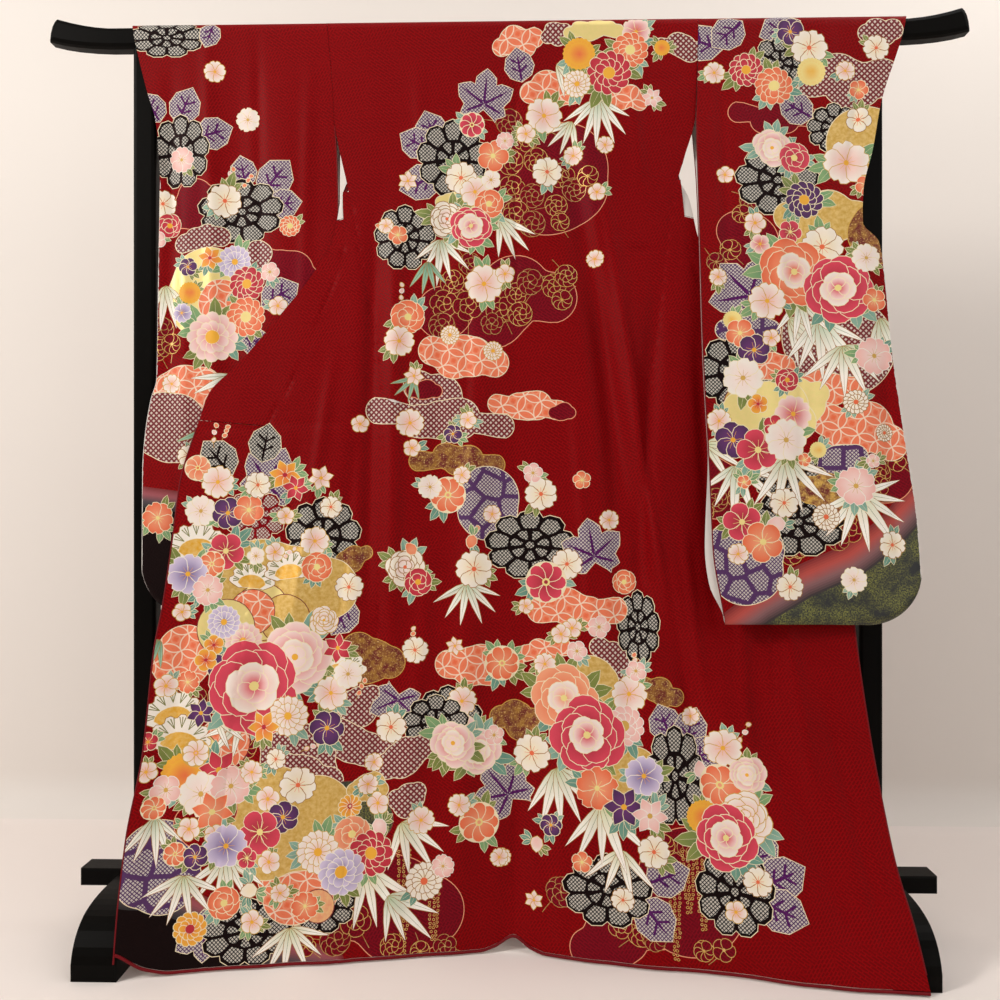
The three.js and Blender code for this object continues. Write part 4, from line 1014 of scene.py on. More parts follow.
class Cloth:
    """One piece of cloth: printed charts, their linings, rims and edgings, in one mesh."""

    def __init__(self, name):
        self.name = name
        self.points, self.normals, self.faces, self.slots = [], [], [], []
        self.dyes, self.flats, self.bakes = [], [], []
        self.count = 0
        self.bake_at = 0.0
        self.tall = 0.0

    def _take(self, points, normals, faces, slots, dyes, flats, bakes):
        self.points.append(points)
        self.normals.append(normals)
        self.faces.append(np.asarray(faces) + self.count)
        self.slots.append(slots)
        self.dyes.append(dyes)
        self.flats.append(flats)
        self.bakes.append(bakes)
        self.count += len(points)

    def _room(self, width, height):
        at = self.bake_at
        self.bake_at += width + 12
        self.tall = max(self.tall, height)
        return at

    def chart(self, outline, surface, design, lining, ground=RED, flip=False, step=GRID):
        """A printed part with its lining and rim. `lining` gives the lining's dye at flat points."""
        flat, tris, tops, near = cut(outline, design.shapes, step)
        low, high = flat.min(0), flat.max(0)
        size = high - low
        normal = surface_normals(surface, flat) * (-1 if flip else 1)
        middle = surface(*flat.T)
        if flip:
            tris = tris[:, ::-1]
        corners = flat[tris]
        slots = np.full(len(tris), SILK)
        dyes = corner_dyes(len(tris), ground)
        for k in np.unique(tops[tops >= 0]):
            shape, mine = near[k], tops == k
            slots[mine] = shape["finish"]
            away = np.linalg.norm(corners[mine] - shape["centre"], axis=2) / shape["reach"]
            t = np.clip(away, 0, 1)[:, :, None] ** shape["power"]
            dyes[mine, :, :3] = mix(np.array(shape["inner"]), np.array(shape["outer"]), t)
        across = self._room(size[0], size[1])
        self._take(middle + normal * WALL, normal, tris, slots, dyes, corners,
                   corners - low + (across, 0))
        # The lining keeps the printed side's rim, so that both sides close into one shell.
        edges = rim_of(tris)
        ring = np.unique(edges)
        back_flat, back_tris = self._lining_net(flat, ring, outline, step * 1.1)
        if flip:
            back_tris = back_tris[:, ::-1]
        back_normal = surface_normals(surface, back_flat) * (-1 if flip else 1)
        back_points = surface(*back_flat.T) - back_normal * BACK
        back_corners = back_flat[back_tris[:, ::-1]]
        across = self._room(size[0], size[1])
        back_dyes = corner_dyes(len(back_tris), lining(back_corners))
        start = self.count
        self._take(back_points, -back_normal, back_tris[:, ::-1], np.full(len(back_tris), LINING),
                   back_dyes, back_corners, back_corners - low + (across, 0))
        # The first len(ring) points of the lining are the rim's, in the same order.
        place = {int(r): start + k for k, r in enumerate(ring)}
        front = start - len(flat)
        quads = [[front + b, front + a, place[int(a)]] for a, b in edges]
        quads += [[front + b, place[int(a)], place[int(b)]] for a, b in edges]
        ends = np.concatenate([edges, edges])
        rim_flat = np.stack([flat[ends[:, 1]], flat[ends[:, 0]], flat[ends[:, 0]]], 1)
        self.faces.append(np.array(quads))
        self.slots.append(np.full(len(quads), EDGING))
        self.dyes.append(corner_dyes(len(quads), ground))
        self.flats.append(rim_flat)
        self.bakes.append(rim_flat - low + (across, 0))
        return self

    @staticmethod
    def _lining_net(flat, ring, outline, step):
        border = flat[ring]
        inner = net_points(outline, step)
        gap = np.array([np.min(np.hypot(*(border - p).T)) for p in inner]) if len(inner) else np.zeros(0)
        inner = inner[gap > step * 0.4] if len(inner) else inner
        points = np.concatenate([border, inner])
        walk = leftward(outline)
        # The rim's points in their order round the outline.
        lengths = np.concatenate([[0], np.cumsum(np.hypot(*(np.roll(walk, -1, 0) - walk).T))])
        a, b = walk, np.roll(walk, -1, 0)
        along = np.empty(len(border))
        for k, p in enumerate(border):
            d = b - a
            t = np.clip(np.sum((p - a) * d, 1) / np.maximum(np.sum(d * d, 1), 1e-9), 0, 1)
            away = np.hypot(*(a + d * t[:, None] - p).T)
            i = int(np.argmin(away))
            along[k] = lengths[i] + t[i] * math.hypot(*d[i])
        loop = [int(k) for k in np.argsort(along, kind="stable")]
        found = delaunay_2d_cdt([Vector(p) for p in points], [], [loop], 1, 1e-5, True)
        verts, _, tris, origin, _, owners = found
        back = np.array([verts[i][:] for i in range(len(verts))])
        names = [o[0] if o else -1 for o in origin]
        rename = np.full(len(verts), -1)
        extra = len(points)
        placed = np.zeros((0, 2))
        for i, name in enumerate(names):
            if name >= 0:
                rename[i] = name
            else:
                rename[i] = extra + len(placed)
                placed = np.concatenate([placed, back[i:i + 1]])
        triangles = rename[np.array([t for t, o in zip(tris, owners) if 0 in o])]
        return np.concatenate([points, placed]), triangles

    def grid(self, rows, dye_of, slot, thick=WALL, flip=False):
        """A closed wall over a grid of points, rows by columns, with its flat size measured."""
        rows = np.asarray(rows, float)
        n, m = rows.shape[:2]
        down = np.gradient(rows, axis=0)
        across = np.gradient(rows, axis=1)
        normal = unit(np.cross(across, down).reshape(-1, 3) * (-1 if flip else 1))
        wide, long = (np.linalg.norm(np.diff(rows, axis=k), axis=2) for k in (1, 0))
        flat_x = np.cumsum(np.concatenate([np.zeros((n, 1)), wide], 1), 1)
        flat_y = np.cumsum(np.concatenate([np.zeros((1, m)), long], 0), 0)
        flat = np.stack([flat_x, flat_y.mean(1)[:, None] + 0 * flat_x], -1).reshape(-1, 2)
        points = rows.reshape(-1, 3)
        at = lambda side, i, j: side * n * m + i * m + j
        faces, kinds = [], []
        for i in range(n - 1):
            for j in range(m - 1):
                faces += [[at(0, i, j), at(0, i, j + 1), at(0, i + 1, j + 1)],
                          [at(0, i, j), at(0, i + 1, j + 1), at(0, i + 1, j)],
                          [at(1, i, j), at(1, i + 1, j), at(1, i + 1, j + 1)],
                          [at(1, i, j), at(1, i + 1, j + 1), at(1, i, j + 1)]]
                kinds += [slot, slot, LINING, LINING]
        for i in range(n - 1):
            faces += [[at(0, i, 0), at(0, i + 1, 0), at(1, i + 1, 0)],
                      [at(0, i, 0), at(1, i + 1, 0), at(1, i, 0)],
                      [at(0, i, m - 1), at(1, i, m - 1), at(1, i + 1, m - 1)],
                      [at(0, i, m - 1), at(1, i + 1, m - 1), at(0, i + 1, m - 1)]]
            kinds += [slot] * 4
        for j in range(m - 1):
            faces += [[at(0, 0, j), at(1, 0, j), at(1, 0, j + 1)],
                      [at(0, 0, j), at(1, 0, j + 1), at(0, 0, j + 1)],
                      [at(0, n - 1, j), at(0, n - 1, j + 1), at(1, n - 1, j + 1)],
                      [at(0, n - 1, j), at(1, n - 1, j + 1), at(1, n - 1, j)]]
            kinds += [slot] * 4
        faces, kinds = np.array(faces), np.array(kinds)
        if flip:
            faces = faces[:, ::-1]
        both = np.concatenate([points + normal * thick, points - normal * thick])
        across = self._room(flat[:, 0].max(), flat[:, 1].max())
        flats = np.concatenate([flat, flat])[faces]
        shift = self._room(flat[:, 0].max(), flat[:, 1].max())
        bakes = np.concatenate([flat + (across, 0), flat + (shift, 0)])[faces]
        dyes = corner_dyes(len(faces), np.where((kinds == LINING)[:, None, None], WHITE_LINING, dye_of))
        self._take(both, np.concatenate([normal, -normal]), faces, kinds, dyes, flats, bakes)
        return self

    def tube(self, path, radius, colour, slot=EDGING, sides=8):
        """A rolled edge along a path."""
        path = np.asarray(path, float)
        ahead = unit(np.gradient(path, axis=0))
        side = unit(np.cross(ahead, (0, 1, 0.001)))
        up = np.cross(side, ahead)
        angles = np.arange(sides) / sides * 2 * np.pi
        ring = np.cos(angles)[None, :, None] * side[:, None] + np.sin(angles)[None, :, None] * up[:, None]
        points = (path[:, None] + ring * radius).reshape(-1, 3)
        faces = []
        for i in range(len(path) - 1):
            for k in range(sides):
                a, b = i * sides + k, i * sides + (k + 1) % sides
                faces += [[a, b, b + sides], [a, b + sides, a + sides]]
        last = (len(path) - 1) * sides
        for k in range(1, sides - 1):
            faces += [[0, k + 1, k], [last, last + k, last + k + 1]]
        faces = np.array(faces)
        a, b, c = points[faces[0]]
        if np.dot(np.cross(b - a, c - a), ring.reshape(-1, 3)[faces[0][0]]) < 0:
            faces = faces[:, ::-1]
        along = np.concatenate([[0], np.cumsum(np.linalg.norm(np.diff(path, axis=0), axis=1))])
        flat = np.stack([np.tile(np.arange(sides) * radius, len(path)), np.repeat(along, sides)], -1)
        across = self._room(sides * radius, along[-1])
        dyes = corner_dyes(len(faces), colour)
        self._take(points, ring.reshape(-1, 3), faces, np.full(len(faces), slot), dyes, flat[faces],
                   flat[faces] + (across, 0))
        return self

    def build(self):
        points = np.concatenate(self.points) * MM
        faces = np.concatenate(self.faces)
        mesh = bpy.data.meshes.new(self.name)
        mesh.from_pydata(points.tolist(), [], faces.tolist())
        mesh.polygons.foreach_set("material_index", np.concatenate(self.slots).astype(np.int32))
        mesh.polygons.foreach_set("use_smooth", np.ones(len(faces), bool))
        dyes = mesh.color_attributes.new("dye", "FLOAT_COLOR", "CORNER")
        dyes.data.foreach_set("color", np.concatenate(self.dyes).reshape(-1).astype(np.float32))
        flat = mesh.uv_layers.new(name="flat")
        flat.data.foreach_set("uv", (np.concatenate(self.flats) * MM).reshape(-1).astype(np.float32))
        bake = mesh.uv_layers.new(name="OFBake")
        size = max(self.bake_at, self.tall) + 4
        bake.data.foreach_set("uv", ((np.concatenate(self.bakes) + 2) / size).reshape(-1).astype(np.float32))
        normals = np.concatenate(self.normals)
        mesh.normals_split_custom_set_from_vertices(normals.tolist())
        piece = bpy.data.objects.new(self.name, mesh)
        bpy.context.scene.collection.objects.link(piece)
        for material in FINISHES:
            mesh.materials.append(material)
        return piece


# ---------------------------------------------------------------- finishes
class Nodes:
    """A material's node tree, wired by short calls."""

    def __init__(self, name):
        self.material = bpy.data.materials.new(name)
        self.material.use_nodes = True
        self.tree = self.material.node_tree
        self.shader = self.tree.nodes["Principled BSDF"]

    def node(self, kind, inputs=(), **settings):
        node = self.tree.nodes.new(kind)
        for key, value in settings.items():
            setattr(node, key, value)
        for key, value in dict(inputs).items():
            self.put(value, node.inputs[key])
        return node

    def put(self, value, socket):
        if isinstance(value, bpy.types.NodeSocket):
            self.tree.links.new(value, socket)
        elif isinstance(value, bpy.types.Node):
            self.tree.links.new(value.outputs[0], socket)
        else:
            socket.default_value = value

    def math(self, operation, *values):
        return self.node("ShaderNodeMath", dict(enumerate(values)), operation=operation).outputs[0]

    def blend(self, fac, a, b, mode="MIX"):
        node = self.node("ShaderNodeMix", data_type="RGBA", blend_type=mode)
        self.put(fac, node.inputs[0])
        self.put(a, node.inputs[6])
        self.put(b, node.inputs[7])
        return node.outputs[2]

    def set(self, **values):
        for name, value in values.items():
            self.put(value, self.shader.inputs[name.replace("_", " ")])

    def dye(self):
        return self.node("ShaderNodeVertexColor", layer_name="dye").outputs[0]

    def flat(self, scale=1.0, turn=0.0):
        """The cloth's flat coordinates, grown so that one unit is 1/scale metres."""
        uv = self.node("ShaderNodeUVMap", uv_map="flat").outputs[0]
        mapping = self.node("ShaderNodeMapping", {"Vector": uv, "Rotation": (0, 0, math.radians(turn)),
                                                  "Scale": (scale, scale, scale)})
        return mapping.outputs[0]

    def noise(self, vector, scale, detail=2.0, rough=0.5):
        return self.node("ShaderNodeTexNoise", {"Vector": vector, "Scale": scale, "Detail": detail,
                                                "Roughness": rough}).outputs[0]

    def ramp(self, value, low, high):
        return self.node("ShaderNodeMapRange", {"Value": value, "From Min": low, "From Max": high}).outputs[0]

    def bump(self, height, distance, strength=1.0):
        return self.node("ShaderNodeBump", {"Height": height, "Distance": distance,
                                            "Strength": strength}).outputs[0]


def figured(n):
    """The woven figure: a slanting key fret of about 9 mm, as heights between 0 and 1."""
    def bricks(turn, width):
        return n.node("ShaderNodeTexBrick", {
            "Vector": n.flat(1000 / 9.0, turn), "Scale": 1.0, "Color1": (1, 1, 1, 1), "Color2": (1, 1, 1, 1),
            "Mortar": (0, 0, 0, 1), "Mortar Size": 0.12, "Mortar Smooth": 0.3, "Brick Width": width,
            "Row Height": 0.5}, offset=0.5).outputs[0]
    wide, fine = bricks(32, 1.5), bricks(-58, 0.9)
    patch = n.ramp(n.noise(n.flat(1000 / 60.0), 1.0), 0.45, 0.55)
    return n.blend(patch, wide, fine)


def thread(n, pitch=0.7):
    """The weave's fine grain."""
    return n.node("ShaderNodeTexNoise", {"Vector": n.flat(1000 / pitch), "Scale": 1.0,
                                         "Detail": 1.0}).outputs[0]


def silk_finish():
    n = Nodes("red_silk_figured")
    figure = figured(n)
    cloudy = n.noise(n.flat(1000 / 240.0), 1.0, 2.0)
    shade = n.blend(n.math("MULTIPLY", n.ramp(cloudy, 0.3, 0.7), 0.25), n.dye(), (0.55, 0.4, 0.4, 1),
                    "MULTIPLY")
    # The key fret's lines are painted lighter and pinker than the ground: the weave's own figure, its
    # lightness a painted sheen.
    colour = n.blend(n.math("MULTIPLY", n.math("SUBTRACT", 1.0, figure), 0.55), shade, (2.1, 1.6, 1.6, 1),
                     "MULTIPLY")
    height = n.math("ADD", n.math("MULTIPLY", figure, 0.7), n.math("MULTIPLY", thread(n), 0.3))
    n.set(Base_Color=colour, Roughness=n.math("SUBTRACT", 0.62, n.math("MULTIPLY", figure, 0.12)),
          Sheen_Weight=0.03, Sheen_Roughness=0.4, Sheen_Tint=(1.0, 0.3, 0.26, 1), Specular_IOR_Level=0.15,
          Specular_Tint=(1.0, 0.5, 0.46, 1), Normal=n.bump(height, 0.00035, 0.7))
    return n.material


def kanoko_finish(name, pitch, netted=False, eyed=True):
    """Tie-dyed silk: rows of small pale rings on the slant, crossed by veins where it is netted."""
    n = Nodes(name)
    cells = n.node("ShaderNodeTexVoronoi",
                   {"Vector": n.flat(1000 / pitch, 45), "Scale": 1.0, "Randomness": 0.08},
                   voronoi_dimensions="2D", distance="CHEBYCHEV")
    away = cells.outputs["Distance"]
    ring = n.ramp(away, *((0.36, 0.29) if eyed else (0.295, 0.24)))
    eye = n.ramp(away, 0.09, 0.04)
    mask = n.math("MULTIPLY", ring, n.math("SUBTRACT", 1.0, n.math("MULTIPLY", eye, 0.6 if eyed else 0.0)))
    if netted:
        veins = n.node("ShaderNodeTexVoronoi",
                       {"Vector": n.flat(1000 / 40.0), "Scale": 1.0, "Randomness": 0.7},
                       voronoi_dimensions="2D", feature="DISTANCE_TO_EDGE").outputs[0]
        mask = n.math("MULTIPLY", mask, n.ramp(veins, 0.085, 0.10))
    pale = n.blend(0.14, (0.80, 0.74, 0.64, 1), n.dye())
    colour = n.blend(n.math("MULTIPLY", mask, 0.93), n.dye(), pale)
    n.set(Base_Color=colour, Roughness=0.62, Sheen_Weight=0.1, Normal=n.bump(ring, 0.0005, 0.5))
    return n.material


def shippo_finish():
    """Linked circles in cream line, with a finer flower-like fleck inside."""
    n = Nodes("linked_circle_silk")
    cell = n.node("ShaderNodeVectorMath", {0: n.flat(1000 / 30.0, 20)}, operation="FRACTION").outputs[0]
    lines, inner = None, None
    for corner in ((0, 0, 0), (1, 0, 0), (0, 1, 0), (1, 1, 0)):
        away = n.node("ShaderNodeVectorMath", {0: cell, 1: corner}, operation="DISTANCE").outputs["Value"]
        off = n.math("ABSOLUTE", n.math("SUBTRACT", away, 0.7071))
        lines = off if lines is None else n.math("MINIMUM", lines, off)
        inner = away if inner is None else n.math("MINIMUM", inner, away)
    line = n.ramp(lines, 0.040, 0.022)
    petal = n.ramp(lines, 0.20, 0.19)
    warm = n.blend(n.math("MULTIPLY", petal, 0.45), n.dye(), (0.86, 0.26, 0.13, 1))
    fleck = n.ramp(n.math("ABSOLUTE", n.math("SUBTRACT", inner, 0.22)), 0.05, 0.03)
    warm = n.blend(n.math("MULTIPLY", fleck, 0.25), warm, (0.90, 0.52, 0.32, 1))
    colour = n.blend(n.math("MULTIPLY", line, 0.85), warm, (0.93, 0.76, 0.58, 1))
    n.set(Base_Color=colour, Roughness=0.6, Sheen_Weight=0.1, Normal=n.bump(line, 0.0002, 0.4))
    return n.material


def gold_finish():
    n = Nodes("gold_leaf")
    grain = n.noise(n.flat(1000 / 7.0), 1.0, 3.0, 0.6)
    colour = n.blend(n.math("MULTIPLY", n.ramp(grain, 0.35, 0.65), 0.5), n.dye(), (0.95, 0.72, 0.30, 1))
    n.set(Base_Color=colour, Metallic=0.35, Roughness=n.math("ADD", 0.36, n.math("MULTIPLY", grain, 0.2)),
          Normal=n.bump(grain, 0.0004, 0.4))
    return n.material


def paint_finish():
    n = Nodes("painted_silk")
    grain = n.noise(n.flat(1000 / 26.0), 1.0, 2.0)
    colour = n.blend(n.math("MULTIPLY", n.ramp(grain, 0.4, 0.8), 0.16), n.dye(), (0.9, 0.55, 0.42, 1),
                     "MULTIPLY")
    n.set(Base_Color=colour, Roughness=0.62, Sheen_Weight=0.08, Normal=n.bump(thread(n), 0.0001, 0.4))
    return n.material


def burnished_finish():
    n = Nodes("burnished_gold_silk")
    grain = n.noise(n.flat(1000 / 14.0), 1.0, 5.0, 0.65)
    fine = n.noise(n.flat(1000 / 3.0), 1.0, 2.0, 0.6)
    dark = n.blend(n.ramp(grain, 0.42, 0.62), (0.16, 0.012, 0.008, 1), n.dye())
    colour = n.blend(n.math("MULTIPLY", n.ramp(fine, 0.55, 0.7), 0.7), dark, (0.90, 0.62, 0.22, 1))
    n.set(Base_Color=colour, Metallic=0.25, Roughness=0.48, Normal=n.bump(fine, 0.0003, 0.5))
    return n.material


def mossy_finish():
    """Black ground strewn with fine gold, thinner in drifts."""
    n = Nodes("strewn_gold_silk")
    drift = n.noise(n.flat(1000 / 34.0), 1.0, 4.0, 0.6)
    fine = n.noise(n.flat(1000 / 2.6), 1.0, 2.0, 0.7)
    strewn = n.math("MULTIPLY", n.ramp(drift, 0.36, 0.6), n.ramp(fine, 0.42, 0.6))
    colour = n.blend(strewn, (0.012, 0.013, 0.014, 1), n.dye())
    n.set(Base_Color=colour, Roughness=0.52, Normal=n.bump(fine, 0.0003, 0.4))
    return n.material


def lining_finish(name):
    n = Nodes(name)
    grain = n.noise(n.flat(1000 / 90.0), 1.0, 2.0)
    colour = n.blend(n.math("MULTIPLY", grain, 0.14), n.dye(), (0.55, 0.45, 0.42, 1), "MULTIPLY")
    n.set(Base_Color=colour, Roughness=0.55, Specular_IOR_Level=0.2, Normal=n.bump(thread(n), 0.0001, 0.4))
    return n.material


WHITE_LINING = dye("#e9e3dd")
FINISHES = [
    silk_finish(), kanoko_finish("kanoko_silk_wide", 6.6, eyed=False), shippo_finish(), gold_finish(),
    paint_finish(), burnished_finish(), mossy_finish(), kanoko_finish("kanoko_silk_netted", 4.4, netted=True),
    kanoko_finish("kanoko_silk_fine", 4.4), lining_finish("silk_lining"), lining_finish("rolled_silk_edge"),
]


def lacquer_finish():
    n = Nodes("black_lacquer_satin")
    place = n.node("ShaderNodeTexCoord").outputs["Object"]
    grain = n.noise(place, 9.0, 3.0)
    fine = n.noise(place, 160.0, 2.0)
    colour = n.blend(n.math("MULTIPLY", grain, 0.5), (0.0025, 0.0023, 0.0020, 1), (0.0060, 0.0045, 0.0032, 1))
    n.set(Base_Color=colour, Roughness=n.math("ADD", 0.34, n.math("MULTIPLY", fine, 0.12)),
          Specular_IOR_Level=0.05, Normal=n.bump(fine, 0.0001, 0.12))
    return n.material


# ---------------------------------------------------------------- designs
PX = 1.68                         # millimetres of cloth to a pixel of the picture
body = Design(body_depth)
sleeve_left = Design(lambda x, z: sleeve_layer(SLEEVE_LEFT, "near", x, z))
sleeve_right = Design(lambda x, z: sleeve_layer(SLEEVE_RIGHT, "near", x, z))
reverse = Design(body_depth)      # what lies on the far side of the fronts and the collar


def parsed(text):
    """Rows of a drawing list: words and numbers, split at spaces."""
    out = []
    for line in text.strip().splitlines():
        out.append([float(w) if w.lstrip("-").replace(".", "", 1).isdigit() else w for w in line.split()])
    return out


GROUNDS = {"black": BLACK, "purple": PURPLE, "red": DARK_RED, "wine": WINE, "orange": ORANGE, "gold": GOLD,
           "straw": STRAW, "brown": OLD_GOLD, "moss": MOSS, "crimson": RED, "coral": APRICOT}


# Clouds by kind: round lobes, finish and the line round them. Discs and rings: the finish.
CLOUDS = dict(kanoko=(4, KANOKO, CREAM), shippo=(4, SHIPPO, CREAM), gilt=(6, LEAF_GOLD, CREAM),
              dark=(4, BURNISHED, GOLD), moss=(4, MOSSY, DARK_RED), flat=(4, SILK, APRICOT))
DISCS = dict(disc=LEAF_GOLD, ring=SHIPPO)
DISC_RIM, DISC_SIDES = 1.4, 28


def draw_clouds(design, text):
    """Rows of: kind, px, py, width and height in pixels, dye, slant in degrees, seed."""
    for kind, px, py, w, h, ground, slant, seed in parsed(text):
        at, w, h, colour = design.spot(px, py), w * PX, h * PX, GROUNDS[ground]
        if kind in CLOUDS:
            lobes, finish, line = CLOUDS[kind]
            cloud(design, at, w, h, lobes, finish, colour, line=line, seed=seed, angle=slant)
        elif kind in DISCS:
            disc(design, at, w / 2 + DISC_RIM, PAINT, DARK_RED, sides=DISC_SIDES)
            disc(design, at, w / 2, DISCS[kind], colour, sides=DISC_SIDES)
        elif kind == "net":
            net(design, at, w, h, colour, seed)
        elif kind == "mum":
            kanoko_mum(design, at, w, h, colour, slant, seed)
        elif kind == "palm":
            palm(design, at, w / 2, colour, colour, slant)
        elif kind == "leaf":
            kanoko_leaf(design, at, w, slant, colour)


def draw_lines(design, text, ground=WINE):
    """Rows of: px, py, radius in pixels: flowers in gold line, with a sprig beside each."""
    for k, (px, py, r) in enumerate(parsed(text)):
        at, rng = design.spot(px, py), random.Random(k * 7 + 3)
        sprig(design, at, r * PX * 2.0, rng.uniform(0, 360), rng)
        colour = OLD_GOLD if k % 3 == 0 else GOLD
        line_flower(design, at, r * PX, rng.uniform(0, 72), ground, colour, rng.choice((5, 8, 10)))
        if r >= 11:
            line_flower(design, at, r * PX * 0.55, rng.uniform(0, 72), ground, colour, 5)


def draw_wisteria(design, text):
    """Rows of: px, py, length in pixels."""
    for k, (px, py, length) in enumerate(parsed(text)):
        wisteria(design, design.spot(px, py), length * PX, random.Random(k + 5))


def draw_bamboo(design, text):
    """Rows of: px, py, blade length in pixels, direction in degrees from up, blades, spread."""
    for k, (px, py, length, angle, count, spread) in enumerate(parsed(text)):
        dark = (dye("#c3c98f"), dye("#9fb98a"), dye("#a9b77c"))[k % 3] if length > 31 else GREEN
        light = dye("#fffaf0") if length > 31 else JADE
        bamboo(design, design.spot(px, py), length * PX, angle, int(count), spread, random.Random(k + 11),
               dark, light)


def draw_pines(design, text):
    """Rows of: px, py, half width in pixels, slant."""
    for k, (px, py, r, slant) in enumerate(parsed(text)):
        pine(design, design.spot(px, py), r * PX, slant, random.Random(k))


def draw_twigs(design, text):
    """Rows of: px, py, length in pixels, direction in degrees from up."""
    for k, (px, py, length, angle) in enumerate(parsed(text)):
        twig(design, design.spot(px, py), length * PX, angle, random.Random(k + 2))


def draw_flowers(design, text, seed):
    """Rows of: form, px, py, radius in pixels, dyes, number of leaves."""
    rng = random.Random(seed)
    rows = parsed(text)
    for form, px, py, r, scheme, count in rows:
        at = design.spot(px, py)
        away = rng.uniform(0, 360)
        for k in range(int(count)):
            turn = away + 360 * k / count + rng.uniform(-25, 25)
            foot = at + turned([(0, r * PX * 0.55)], turn)[0]
            leaves(design, foot, min(58, max(21, r * PX * rng.uniform(1.1, 1.35))), turn, rng,
                   rng.choice((2, 3, 3)))
    for form, px, py, r, scheme, count in rows:
        FLOWERS[form](design, design.spot(px, py), r * PX * 1.06, SCHEMES[scheme], rng.uniform(0, 360), rng)


def airbrush(design, points, stops, last, step=3.2, finish=SILK, parts=5):
    """A dyed ground with soft edges: the outline, drawn in again and again through the dyes."""
    outline = leftward(run(np.array([design.spot(*p) for p in points + points[:1]]))[:-1])
    for k in range((len(stops) - 1) * parts):
        a, b = np.array(stops[k // parts]), np.array(stops[k // parts + 1])
        design.add(grown(outline, -k * step), PAINT, mix(a, b, (k + 0.5) % parts / parts))
    design.add(grown(outline, -(len(stops) - 1) * parts * step), finish, last)


